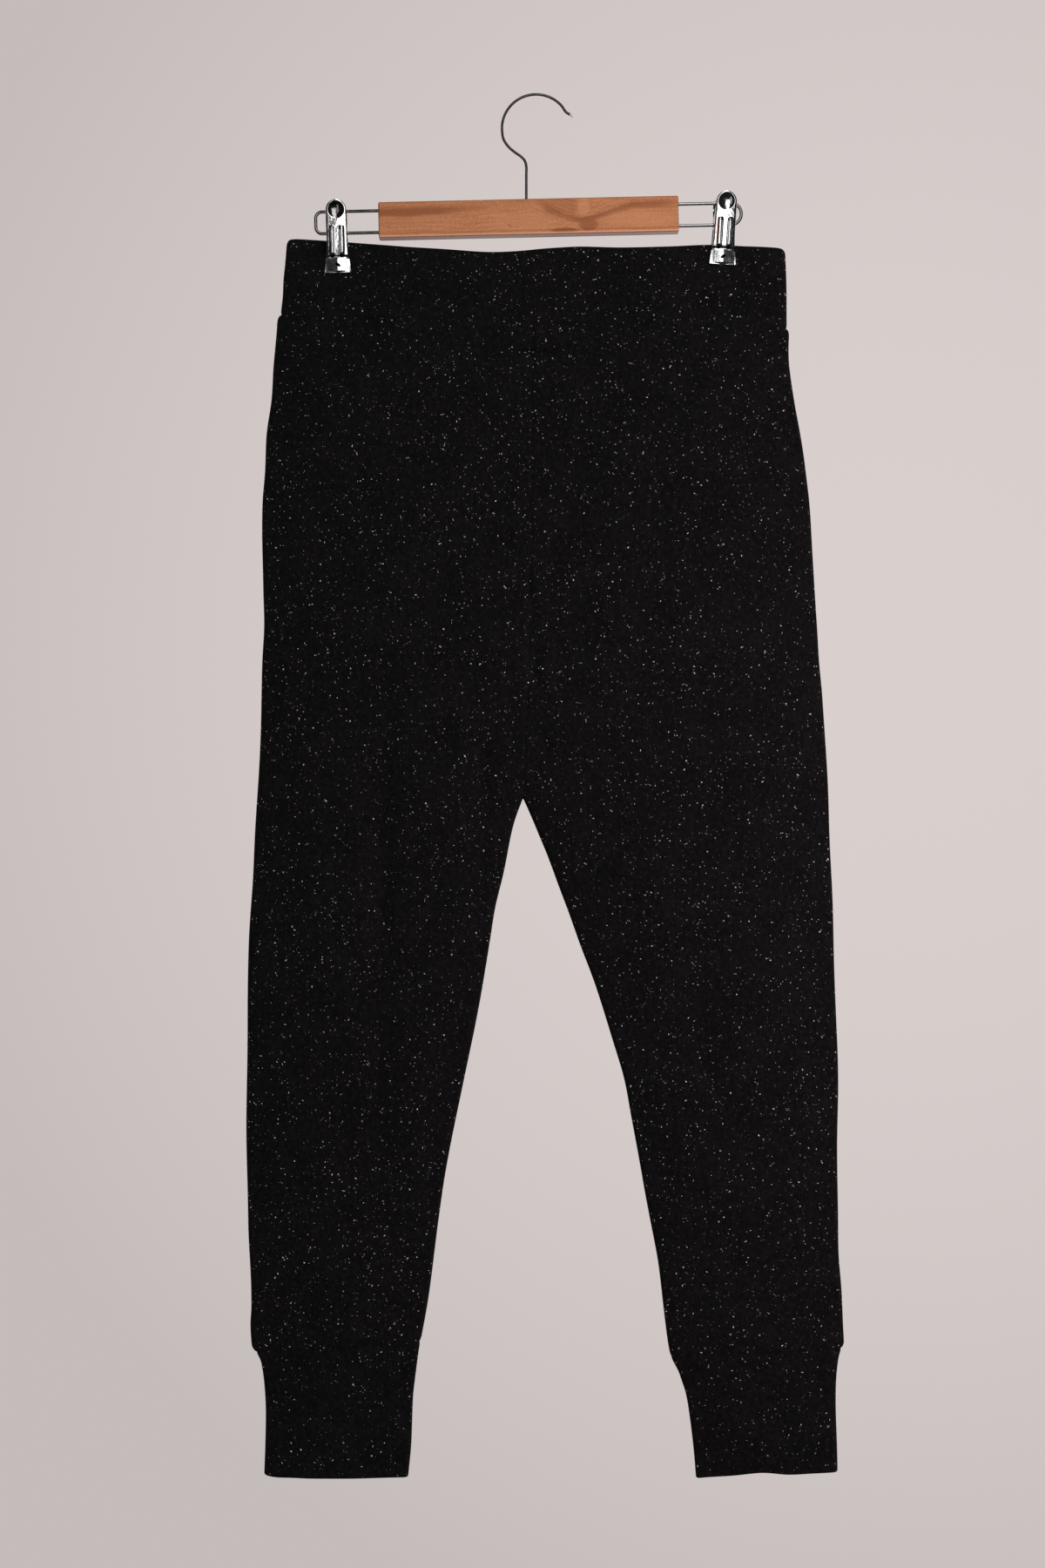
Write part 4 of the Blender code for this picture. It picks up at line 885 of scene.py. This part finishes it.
# Each crease is a soft trough (lift below 0) or ridge from one point to another. The first of each face
# are the large folds, straight and even. The others are bowed to one side and fade at their ends, with a
# gentler shoulder on the side that the width's sign gives.
Crease = namedtuple("Crease", "x0 z0 x1 z1 width lift bow")
CREASES = {
    "front": millimetres(
        Crease,
        (-50, -196, 38, -200, 16, -2.4, 0), (-42, -535, -46, -690, 7, -4.2, 0),
        (-64, -500, -60, -720, 14, 1.4, 0), (-120, -460, -126, -860, 10, -2.4, 0),
        (-100, -170, -32, -290, 20, -1.4, 0), (60, -252, 160, -254, 10, -1.3, 0),
        (172, -610, 226, -582, 12, -1.3, 0), (120, -700, 168, -960, 20, -1.5, 0),
        (-46, -194, 40, -198, 3.6, -4.6, -13), (-164, -178, -128, -262, 7, -1.7, 8),
        (156, -176, 118, -268, -7, -1.7, -8), (128, -166, 60, -226, 7.9, -1.4, 10),
        (54, -256, 118, -251, 3.8, -3, 4), (108, -266, 168, -262, -5.3, 1.2, 4),
        (-12, -392, -4, -432, 5, -2.6, 4), (0, -452, 8, -494, -5, -2.8, -5),
        (-4, -512, 6, -548, 5, -2.6, 4), (-18, -560, -70, -610, 6.2, -2, 10),
        (-4, -566, 52, -628, -7, -2.2, -10), (-22, -530, -96, -548, 7.9, -1.4, 12),
        (4, -524, 98, -556, -7.9, -1.5, -14), (-138, -520, -132, -720, 9.7, -1.9, 6),
        (-160, -760, -204, -820, 7, -1.4, 6), (-116, -840, -176, -876, 6.2, -1.2, -8),
        (-112, -930, -164, -950, 5.3, -1.4, 6), (-150, -968, -214, -984, 4.8, -1.4, -5),
        (96, -470, 150, -560, 10.6, -1.5, 12), (170, -700, 214, -668, 7, -1.4, 6),
        (104, -780, 158, -826, 7, -1.5, 8), (142, -900, 206, -882, -6.2, -1.2, 6),
        (126, -962, 196, -984, 5.3, -1.5, -6), (-190, -420, -180, -500, 7.9, -1, -6),
        (196, -400, 186, -480, -7.9, -1, 6),
    ),
    "back": millimetres(
        Crease,
        (0, -200, 70, -206, 18, -2.4, 0), (-52, -440, -60, -690, 14, -2.8, 0),
        (42, -430, 76, -680, 16, -2.6, 0), (-150, -420, -150, -860, 20, -1.8, 0),
        (160, -620, 184, -930, 20, -1.6, 0), (-110, -180, -60, -280, 20, -1.5, 0),
        (110, -175, 66, -270, 20, -1.5, 0), (-40, -196, 52, -204, 5.3, -2, 10),
        (-160, -180, -118, -268, 7, -1.7, 10), (152, -178, 110, -272, -7.9, -1.9, -8),
        (-92, -246, -10, -258, 6.2, -1.4, 8), (-14, -360, -6, -500, 6.2, -1.7, 6),
        (-20, -556, -90, -600, 7, -2.4, 12), (-2, -562, 72, -622, -7, -2.4, -12),
        (-24, -516, -120, -536, 8.8, -1.7, 14), (6, -510, 112, -548, -8.8, -1.7, -14),
        (-30, -472, -110, -470, 9.7, -1.2, 10), (-132, -700, -190, -742, 7, -1.5, 8),
        (-120, -820, -182, -800, -7, -1.4, 8), (-116, -944, -190, -966, 5.3, -1.5, 6),
        (118, -720, 180, -760, 7, -1.5, -8), (136, -850, 204, -834, -7, -1.4, 6),
        (132, -950, 206, -974, 5.3, -1.5, 6), (120, -420, 170, -520, 10.6, -1.5, 10),
    ),
}
SHOULDER_SHIFT = 1.5
SHOULDER_SHARE = 0.4
END_SHARE = 0.35
END_STRETCH = 0.45

# The clips press on the waistband, and their pressure spreads some way from the jaws
PINCHES = [HANGER @ Vector((clip.x, 0.0, WIRE_LOWER)) for clip in CLIPS]
JAW_CLOTH = DOUBLE_WALL + SEAM_GAP / 2
JAW_REACH = 0.0330
PINCH_FLAT = 0.0135
PINCH_FADE = 0.0400
PINCH_DROP = 0.0900


def read(table, key, value, at):
    """Values of a table's column where its key column is at, on a smooth curve through the rows."""
    rows = sorted(table, key=lambda row: getattr(row, key))
    keys = np.array([getattr(row, key) for row in rows])
    values = np.array([getattr(row, value) for row in rows])
    chords = np.diff(values) / np.diff(keys)
    slopes = np.concatenate((chords[:1], (values[2:] - values[:-2]) / (keys[2:] - keys[:-2]), chords[-1:]))
    at = np.clip(at, keys[0], keys[-1])
    i = np.clip(np.searchsorted(keys, at, side="right") - 1, 0, len(keys) - 2)
    span = keys[i + 1] - keys[i]
    t = (at - keys[i]) / span
    eased = slopes[i] * t * (1 - t) ** 2 + slopes[i + 1] * t * t * (t - 1)
    return mix(values[i], values[i + 1], smooth(t)) + span * eased


def fold_relief(face, x, z):
    """Sum of the creases of one face."""
    total = np.zeros(np.broadcast(x, z).shape)
    for fold in CREASES[face]:
        run_x = fold.x1 - fold.x0
        run_z = fold.z1 - fold.z0
        length = math.hypot(run_x, run_z)
        away_x = x - fold.x0
        away_z = z - fold.z0
        along = (away_x * run_x + away_z * run_z) / length ** 2
        clamped = np.clip(along, 0.0, 1.0)
        beyond = (along - clamped) * length
        across = (away_x * run_z - away_z * run_x) / length + fold.bow * 4 * clamped * (1 - clamped)
        if fold.bow:
            beyond = beyond * END_STRETCH
            shifted = across / fold.width - SHOULDER_SHIFT
            profile = np.exp(-(across / fold.width) ** 2) - SHOULDER_SHARE * np.exp(-shifted ** 2)
            taper = mix(END_SHARE, 1.0, np.sin(math.pi * clamped))
            total += fold.lift * taper * profile * np.exp(-(beyond / fold.width) ** 2)
        else:
            total += fold.lift * np.exp(-(np.hypot(beyond, across) / fold.width) ** 2)
    return total


def edge_arc(distance, fold):
    """Roundness of the cloth near a side fold: 0 on the fold, 1 from its radius inwards."""
    return np.sqrt(1.0 - (1.0 - np.minimum(distance / fold, 1.0)) ** 2)


def edge_swell(distance, fold):
    """Rise of the cloth away from a side fold: 0 at its radius, 1 at the full swell width."""
    t = np.clip((distance - fold) / SWELL_WIDTH, 0.0, 1.0)
    return t * (2.0 - t)


def pinch(x, z):
    """How far the clips press the cloth together: 1 under a jaw, 0 away from it."""
    total = 0.0
    for spot in PINCHES:
        beside = np.abs(x - spot.x) - PINCH_FLAT
        below = spot.z - JAW_REACH - z
        total = total + (1.0 - smooth(beside / PINCH_FADE)) * (1.0 - smooth(below / PINCH_DROP))
    return np.minimum(total, 1.0)


def stand_out(face, x, z, near, far):
    """Distance of the outer surface from the middle plane, near and far from the cloth's two edges."""
    fold = read(SWELL, "z", "fold", z)
    full = read(SWELL, "z", face, z)
    arcs = edge_arc(near, fold) * edge_arc(far, fold)
    swell = edge_swell(near, fold) * edge_swell(far, fold)
    depth = arcs * (fold + (full - fold) * swell)
    depth += fold_relief(face, x, z) * swell
    return mix(depth, JAW_CLOTH, pinch(x, z) * arcs)


GRID_PITCH = 0.0030
ARC_STEPS = 7
SEAM_STEPS = [0.0, 0.0004, 0.0010, 0.0018, 0.0030, 0.0046]


def arc_angles(start=0.0):
    return [mix(start, math.pi / 2, step / ARC_STEPS) for step in range(ARC_STEPS + 1)]


def spread(start, stop):
    """Evenly spaced values between two, neither included."""
    count = max(round(abs(stop - start) / GRID_PITCH), 1)
    return [mix(start, stop, k / count) for k in range(1, count)]


def surface_normals(grid, first, last):
    """Normals of a grid of points, pointing away from the middle plane. first and last give the
    direction across the cloth at its two edge columns."""
    across = np.empty_like(grid)
    across[:, 1:-1] = grid[:, 2:] - grid[:, :-2]
    across[:, 0] = first
    across[:, -1] = last
    down = np.empty_like(grid)
    down[1:-1] = grid[2:] - grid[:-2]
    down[0] = down[-1] = (0.0, 0.0, grid[1, 0, 2] - grid[0, 0, 2])
    normals = np.cross(across, down)
    normals /= np.linalg.norm(normals, axis=2, keepdims=True)
    row = len(grid) // 2
    proud = 1 + np.argmax(np.abs(grid[row, 1:-1, 1]))
    if normals[row, proud, 1] * grid[row, proud, 1] < 0:
        normals = -normals
    return normals


def run_lengths(grid, axis):
    """Distance along the cloth from the grid's first line of points on that axis."""
    steps = np.linalg.norm(np.diff(grid, axis=axis), axis=2)
    start = np.zeros_like(np.take(steps, [0], axis=axis))
    return np.concatenate((start, np.cumsum(steps, axis=axis)), axis=axis)


SEAM_DIP = 0.0006
SEAM_SOFT = 0.0015

# A gathered seam has waves, finer waves on them, and a slow swing that changes the height and pitch of
# both. Lengths are in pitches of the seam, and drifts in radians.
SLOW_LENGTH = 3.3
SLOW_START = 0.8
FINE_LENGTH = 0.61
FINE_SHARE = 0.4
FINE_DRIFT = 2.0
WAVE_DRIFT = 2.6
WAVE_LEVEL = 0.65
WAVE_SWING = 0.35


def groove(distance):
    """The small valley where the cloth is drawn down to a seam."""
    return -SEAM_DIP * np.exp(-(distance / SEAM_SOFT) ** 2)


def ripple(x, pitch):
    """Uneven small waves along a gathered seam."""
    slow = np.sin(math.tau * x / (SLOW_LENGTH * pitch) + SLOW_START)
    fine = np.sin(math.tau * x / (FINE_LENGTH * pitch) + FINE_DRIFT * slow)
    waves = np.sin(math.tau * x / pitch + WAVE_DRIFT * slow)
    return (waves + FINE_SHARE * fine) * (WAVE_LEVEL + WAVE_SWING * slow)


Gather = namedtuple("Gather", "height pitch reach")
SEAM_CLEAR = 0.003


def gathers(x, distance, gather):
    """Small waves along a seam that die away from it."""
    return gather.height * ripple(x, gather.pitch) * np.exp(-distance / gather.reach)


def off_seam(distance):
    """0 on a seam and 1 a little way from it."""
    return 1.0 - np.exp(-distance / SEAM_CLEAR)


# Two sets of slanting waves: their height, their length across and down, and a slow swing in them
Slant = namedtuple("Slant", "height across down drift swing")
BROAD_SLANT = Slant(0.00020, 0.083, 0.190, 1.7, 0.31)
CLOSE_SLANT = Slant(0.00012, 0.047, -0.113, 2.3, 0.21)


def slanting(x, z, way, slant):
    place = x / slant.across + z / slant.down
    return slant.height * np.sin(math.tau * place + slant.drift * np.sin(math.tau * way / slant.swing))


def waver(x, z):
    """The slight unevenness of a hanging knit."""
    return slanting(x, z, z, BROAD_SLANT) + slanting(x, z, x, CLOSE_SLANT)


HEM_TURNS = [20.0, 40.0, 60.0, 78.0]


def turned_hem(outer, inner, way):
    """Adds rows that bring the two skins together over a folded edge, way being up (1) or down (-1)."""
    middle = (outer[-1] + inner[-1]) / 2
    half = (outer[-1] - inner[-1]) / 2
    radius = np.linalg.norm(half, axis=1, keepdims=True)
    for turn in HEM_TURNS:
        angle = math.radians(turn)
        edge = middle + np.array((0.0, 0.0, way)) * radius * math.sin(angle)
        outer = np.concatenate((outer, [edge + half * math.cos(angle)]))
        inner = np.concatenate((inner, [edge - half * math.cos(angle)]))
    return outer, inner


# The waistband is a strip of the same knit folded double over its elastic, with the fold on top. Front
# and back strips are joined at the side seams, and the lower edges are sewn to the body.
BAND_GATHER = Gather(0.00022, 0.0190, 0.016)
BAND_MIDDLE = -0.1278
BAND_ROWS = 21
BAND_COLUMNS = 137
BAND_CALM = 0.010
EDGE_SHARE = 0.12
BAND_CUT = (0.430, 0.064)


def band_height(x, share):
    """Height in the waistband at x: its seam at share 0, the start of its folded edge at share 1."""
    seam = read(BAND_SEAM, "x", "z", x) - SEAM_LAP / 2
    return mix(seam, read(BAND_TOP, "x", "z", x) - DOUBLE_WALL / 2, share)


def band_grid(face):
    """Outer points of one face of the waistband, from its seam up."""
    height = BAND_MIDDLE - WAIST_SEAM
    shares = [step / height for step in SEAM_STEPS]
    shares += [mix(shares[-1], 1.0, k / BAND_ROWS) for k in range(1, BAND_ROWS + 1)]
    grid = []
    for share in shares:
        ends = []
        for side, inward in (("left", 1.0), ("right", -1.0)):
            rough = band_height(getattr(BAND_EDGES[0], side), share)
            edge = read(BAND_EDGES, "z", side, rough)
            fold = read(SWELL, "z", "fold", rough)
            ends.append([edge + inward * fold * (1.0 - math.cos(angle)) for angle in arc_angles()])
        flats = np.linspace(ends[0][-1], ends[1][-1], BAND_COLUMNS)[1:-1]
        x = np.array([*ends[0], *flats, *reversed(ends[1])])
        z = band_height(x, share)
        near = np.maximum(x - read(BAND_EDGES, "z", "left", z), 0.0)
        far = np.maximum(read(BAND_EDGES, "z", "right", z) - x, 0.0)
        grid.append(np.stack((x, FACES[face] * stand_out(face, x, z, near, far), z), axis=1))
    return np.array(grid)


def build_band(face):
    base = band_grid(face)
    x, z = base[..., 0], base[..., 2]
    out = FACES[face]
    normals = surface_normals(base, (0.0, out, 0.0), (0.0, -out, 0.0))
    across = run_lengths(base, 1)
    up = run_lengths(base, 0)
    relief = groove(up) + EDGE_SHARE * (groove(across) + groove(across[:, -1:] - across))
    relief += gathers(x, up, BAND_GATHER)
    relief += waver(x, z)
    relief *= 1.0 - pinch(x, z + BAND_CALM)
    outer = base + normals * relief[..., None]
    inner = base - normals * DOUBLE_WALL
    skin = outer
    outer, inner = turned_hem(outer, inner, 1.0)
    band = closed_wall(f"knit_waistband_{face}", outer, inner, knit)
    fit(band, f"waistband_{face}")
    return band, skin, normals


Sewn = namedtuple("Sewn", "piece skin normals cut area")
sewn = []
for face in FACES:
    sewn.append(Sewn(*build_band(face), BAND_CUT, None))


# The body is four panels, each from the waist seam to the cuff seam. Fronts and backs meet along the
# side seams and the inseams, and left meets right along the centre seam, down to the low crotch.
Half = namedtuple("Half", "name inward side inseam cuff")
HALVES = [
    Half("left", 1.0, LEFT_SIDE, LEFT_INSEAM, LEFT_CUFF),
    Half("right", -1.0, RIGHT_SIDE, RIGHT_INSEAM, RIGHT_CUFF),
]
PANEL_CUT = (0.245, 0.850)
PANEL_AREA = 0.158
CROTCH_STEPS = [0.0060, 0.0036, 0.0020, 0.0009, 0.0003, 0.0, -0.0008, -0.0024, -0.0045]
PANEL_COLUMNS = 67
WAIST_GATHER = Gather(0.00034, 0.0230, 0.022)
ANKLE_GATHER = Gather(0.00050, 0.0170, 0.018)
MOUTH_TOP = -0.2050
MOUTH_BOTTOM = -0.3300
MOUTH_GAPE = 0.0024


def cuff_seam(half, x):
    """Height of the cuff seam, which runs straight from the side seam to the inseam."""
    side = half.side[-1]
    inner = half.inseam[-1]
    return mix(side.z, inner.z, np.clip((x - side.x) / (inner.x - side.x), 0.0, 1.0))


def cuff_middle(half):
    return (half.side[-1].z + half.inseam[-1].z) / 2


def seam_ease(rise):
    return np.sqrt(np.clip(rise / SEAM_ROLL, 0.0, 1.0))


def side_edge(half, z):
    """Side edge of a body half, turned in to meet the waistband and the cuff at their seams."""
    x = read(half.side, "z", "x", z)
    band = read(BAND_EDGES, "z", half.name, z)
    cuff = read(half.cuff, "z", "outer", z)
    x = mix(band, x, seam_ease(read(BAND_SEAM, "x", "z", x) - z))
    return mix(cuff, x, seam_ease(z - half.side[-1].z))


def inner_edge(half, z):
    """Inner edge of a body half: the centre seam above the crotch and the inseam below it."""
    if z >= CROTCH:
        return read(CENTRE_SEAM, "z", "x", z) + half.inward * SEAM_LAP / 2
    x = read(half.inseam, "z", "x", z)
    cuff = read(half.cuff, "z", "inner", z)
    return mix(cuff, x, seam_ease(z - half.inseam[-1].z))


def row_height(half, level, x):
    """Height of a row at x: level in the middle of the panel, along the seams at its two ends."""
    waist = read(BAND_SEAM, "x", "z", x) - WAIST_SEAM
    cuff = cuff_seam(half, x) - cuff_middle(half)
    near_waist = 1.0 - smooth((WAIST_SEAM - level) / SEAM_SPREAD)
    near_cuff = 1.0 - smooth((level - cuff_middle(half)) / SEAM_SPREAD)
    return level + waist * near_waist + cuff * near_cuff


def panel_levels(half):
    top = WAIST_SEAM + SEAM_LAP / 2
    bottom = cuff_middle(half) - SEAM_LAP / 2
    above = [top - step for step in SEAM_STEPS]
    middle = [CROTCH + rise for rise in CROTCH_STEPS]
    below = [bottom + step for step in reversed(SEAM_STEPS)]
    return above + spread(above[-1], middle[0]) + middle + spread(middle[-1], below[0]) + below


def mouth_angle(level, fold):
    """Angle from the side seam at which the front panel starts, wider at the pocket mouth."""
    t = (level - MOUTH_BOTTOM) / (MOUTH_TOP - MOUTH_BOTTOM)
    if not 0.0 < t < 1.0:
        return 0.0
    return MOUTH_GAPE * math.sqrt(math.sin(math.pi * t)) / fold


def panel_grid(half, face, levels):
    """Outer points of one panel, a row for each level, from the side seam inwards."""
    grid = []
    for level in levels:
        side_x = side_edge(half, row_height(half, level, side_edge(half, level)))
        inner_x = inner_edge(half, row_height(half, level, inner_edge(half, level)))
        width = abs(inner_x - side_x)
        fold = float(read(SWELL, "z", "fold", level))
        start = mouth_angle(level, fold) if face == "front" else 0.0
        arcs = [fold * (1.0 - math.cos(angle)) for angle in arc_angles(start)]
        tail = [width - fold * (1.0 - math.cos(angle)) for angle in reversed(arc_angles())]
        place = np.array(arcs + list(np.linspace(fold, width - fold, PANEL_COLUMNS + 1)[1:-1]) + tail)
        x = side_x + half.inward * place
        z = row_height(half, level, x)
        far = width - place
        if level > CROTCH:
            far = np.hypot(far, level - CROTCH)
        grid.append(np.stack((x, FACES[face] * stand_out(face, x, z, place, far), z), axis=1))
    return np.array(grid)


def build_panel(half, face):
    levels = panel_levels(half)
    base = panel_grid(half, face, levels)
    crotch_row = levels.index(CROTCH)
    out = FACES[face]
    last = np.zeros((len(levels), 3))
    last[:crotch_row, 0] = half.inward
    last[crotch_row:, 1] = -out
    normals = surface_normals(base, (0.0, out, 0.0), last)
    normals[crotch_row, -1] = (0.0, 0.0, -1.0)
    x, z = base[..., 0], base[..., 2]
    across = run_lengths(base, 1)
    down = run_lengths(base, 0)
    up = down[-1:] - down
    inner_share = np.where(np.arange(len(levels)) < crotch_row, 1.0, EDGE_SHARE)[:, None]
    relief = EDGE_SHARE * groove(across) + inner_share * groove(across[:, -1:] - across)
    relief += groove(down) + groove(up)
    relief += gathers(x, down, WAIST_GATHER) * off_seam(down)
    relief += gathers(x, up, ANKLE_GATHER) * off_seam(up)
    relief += waver(x, z)
    outer = base + normals * relief[..., None]
    inner = base - normals * PANEL_WALL
    panel = closed_wall(f"knit_{face}_{half.name}", outer, inner, knit)
    fit(panel, f"{face}_{half.name}")
    return panel, outer, normals, inner


linings = {}
for half in HALVES:
    for face in FACES:
        panel, skin, normals, lining = build_panel(half, face)
        linings[half.name, face] = lining, normals
        sewn.append(Sewn(panel, skin, normals, PANEL_CUT, PANEL_AREA))


# Inside each side-seam pocket a strip of the same knit faces the bag. Only this strip shows, in the
# narrow mouth just in front of the side seam.
FACING_REACH = 0.037
FACING_MARGIN = 0.010


def build_facing(half):
    levels = panel_levels(half)
    low = MOUTH_BOTTOM - FACING_MARGIN
    high = MOUTH_TOP + FACING_MARGIN
    rows = [i for i, level in enumerate(levels) if low < level < high]
    strips = []
    for face in FACES:
        lining, normals = linings[half.name, face]
        columns = int((run_lengths(lining, 1)[rows[0]] < FACING_REACH).sum())
        strips.append((lining[rows, :columns], normals[rows, :columns]))
    (front, front_normals), (back, back_normals) = strips
    base = np.concatenate((front[:, ::-1], back), axis=1)
    normals = np.concatenate((front_normals[:, ::-1], back_normals), axis=1)
    outer = base - normals * SEAM_GAP
    inner = base - normals * (SEAM_GAP + FACING_WALL)
    facing = closed_wall(f"knit_pocket_facing_{half.name}", outer, inner, knit)
    fit(facing, f"pocket_facing_{half.name}")


for half in HALVES:
    build_facing(half)


# The cuffs are deep tubes of the same knit, folded double with the fold at the bottom, and sewn to the
# legs. Each is narrower than the leg above it.
CUFF_CUT = (0.264, 0.106)
CUFF_ROWS = 34
CUFF_COLUMNS = 41
CUFF_GATHER = Gather(0.00035, 0.0170, 0.014)

# How much higher the hem stands at places across it
HEM_SAG = {
    "left": millimetres(Level, (-222, 2), (-212, 0.2), (-200, 0), (-103, 0)),
    "right": millimetres(
        Level, (130, -2.8), (140, -1.6), (157, 0), (182, 2.7), (206, 1.1), (234, 2), (245.6, 2.5),
    ),
}


def cuff_ring(half):
    """Outer points of a cuff, round the front from the side seam and back behind."""
    top = cuff_middle(half) + SEAM_LAP / 2
    bottom = half.cuff[-1].z + DOUBLE_WALL / 2
    shares = [step / (top - bottom) for step in SEAM_STEPS]
    shares += [mix(shares[-1], 1.0, k / CUFF_ROWS) for k in range(1, CUFF_ROWS + 1)]
    grid = []
    for share in shares:
        level = mix(top, bottom, share)
        slope = 1.0 - float(smooth(share))
        fold = float(read(SWELL, "z", "fold", level))
        side_z = level + (half.side[-1].z - cuff_middle(half)) * slope
        inner_z = level + (half.inseam[-1].z - cuff_middle(half)) * slope
        side_x = read(half.cuff, "z", "outer", side_z)
        width = abs(read(half.cuff, "z", "inner", inner_z) - side_x)
        arcs = [fold * (1.0 - math.cos(angle)) for angle in arc_angles()]
        flats = list(np.linspace(fold, width - fold, CUFF_COLUMNS)[1:-1])
        places = arcs + flats + [width - arc for arc in reversed(arcs)]
        line = []
        for face, order in (("front", places[:-1]), ("back", places[:0:-1])):
            place = np.array(order)
            x = side_x + half.inward * place
            z = level + (cuff_seam(half, x) - cuff_middle(half)) * slope
            z = z + read(HEM_SAG[half.name], "x", "z", x) * float(smooth(2.0 * share - 1.0))
            depth = stand_out(face, x, z, place, width - place)
            line.append(np.stack((x, FACES[face] * depth, z), axis=1))
        grid.append(np.concatenate(line))
    return np.array(grid)


def build_cuff(half):
    base = cuff_ring(half)
    wrapped = np.concatenate((base[:, -1:], base, base[:, :1]), axis=1)
    normals = surface_normals(wrapped, (0.0, 1.0, 0.0), (0.0, 1.0, 0.0))[:, 1:-1]
    x = base[..., 0]
    down = run_lengths(base, 0)
    relief = groove(down) + waver(x, base[..., 2])
    relief += gathers(x, down, CUFF_GATHER) * off_seam(down)
    outer = base + normals * relief[..., None]
    inner = base - normals * DOUBLE_WALL
    skin = outer
    outer, inner = turned_hem(outer, inner, -1.0)
    cuff = closed_wall(f"knit_cuff_{half.name}", outer, inner, knit, ring=True)
    fit(cuff, f"cuff_{half.name}")
    return cuff, skin, normals


for half in HALVES:
    sewn.append(Sewn(*build_cuff(half), CUFF_CUT, None))


# The metallic yarn breaks the surface in tiny bright slivers, some hardly visible, a few up to two
# millimetres long, lying every way. Fewer show on the cuffs.
FLECK_METAL = (0.63, 0.65, 0.66, 1.0)
FLECK_DULL = (0.08, 0.08, 0.082, 1.0)
FLECKS_PER_AREA = 32000.0
CUFF_SHARE = 0.67
FLECK_LENGTH = 0.00088
FLECK_SHORTEST = 0.00034
FLECK_LONGEST = 0.0020
FLECK_VARIETY = 0.45
FLECK_SLIMNESS = (0.36, 0.68)
FLECK_THINNEST = 0.00018
FLECK_RIDGE = 0.22
FLECK_PROUD = 0.00006

# How far a fleck's turn, tilt and roll spread, in radians
FLECK_LAY = (1.6, 0.20, 0.45)

fleck_metal, glint, fleck_sockets = new_material("metallic_yarn", metallic=0.15)
twist = noise(glint.node("ShaderNodeTexCoord", output="Object"), 420.0, 2.0)
blend(twist.step(0.36, 0.66), FLECK_DULL, FLECK_METAL).feed(fleck_sockets["Base Color"])
(0.30 + 0.25 * twist).feed(fleck_sockets["Roughness"])


def sow_flecks(name, skin, normals, density, seed):
    """Slivers scattered over a skin, as one mesh. Each has two ends, two sides and a raised middle."""
    dice = np.random.default_rng(seed)
    a, b, c, d = skin[:-1, :-1], skin[:-1, 1:], skin[1:, 1:], skin[1:, :-1]
    area = np.linalg.norm(np.cross(c - a, d - b), axis=2) / 2
    count = int(area.sum() * density)
    cell = dice.choice(area.size, count, p=(area / area.sum()).ravel())
    i, j = np.unravel_index(cell, area.shape)
    u, v = dice.random((2, count, 1))
    spot = mix(mix(a[i, j], b[i, j], u), mix(d[i, j], c[i, j], u), v)
    normal = mix(normals[i, j], normals[i, j + 1], u)
    normal = mix(normal, mix(normals[i + 1, j], normals[i + 1, j + 1], u), v)
    normal /= np.linalg.norm(normal, axis=1, keepdims=True)
    side = np.cross(normal, (0.0, 0.0, 1.0))
    side /= np.linalg.norm(side, axis=1, keepdims=True)
    rise = np.cross(side, normal)
    turn, tilt, roll = (angle[:, None] for angle in dice.normal(0.0, FLECK_LAY, (count, 3)).T)
    along = side * np.cos(turn) + rise * np.sin(turn)
    along = along * np.cos(tilt) + normal * np.sin(tilt)
    across = np.cross(normal, along)
    across /= np.linalg.norm(across, axis=1, keepdims=True)
    up = np.cross(along, across)
    up, across = up * np.cos(roll) + across * np.sin(roll), across * np.cos(roll) - up * np.sin(roll)
    length = FLECK_LENGTH * np.exp(dice.normal(0.0, FLECK_VARIETY, (count, 1)))
    length = np.clip(length, FLECK_SHORTEST, FLECK_LONGEST)
    width = np.maximum(length * dice.uniform(*FLECK_SLIMNESS, (count, 1)), FLECK_THINNEST)
    spot = spot + normal * FLECK_PROUD
    points = np.stack((
        spot - along * length / 2, spot - across * width / 2, spot + along * length / 2,
        spot + across * width / 2, spot + up * width * FLECK_RIDGE,
    ), axis=1)
    triangles = [(0, 1, 4), (1, 2, 4), (2, 3, 4), (3, 0, 4), (2, 1, 0), (3, 2, 0)]
    faces = (np.arange(count)[:, None, None] * 5 + np.array(triangles)).reshape(-1, 3)
    flecks = mesh_object(name, points.reshape(-1, 3).tolist(), faces.tolist(), fleck_metal, sharp=10.0)
    fit(flecks)
    return flecks


for seed, part in enumerate(sewn):
    density = FLECKS_PER_AREA * (CUFF_SHARE if "cuff" in part.piece.name else 1.0)
    flecks = sow_flecks(part.piece.name.replace("knit", "flecks"), part.skin, part.normals, density, seed)
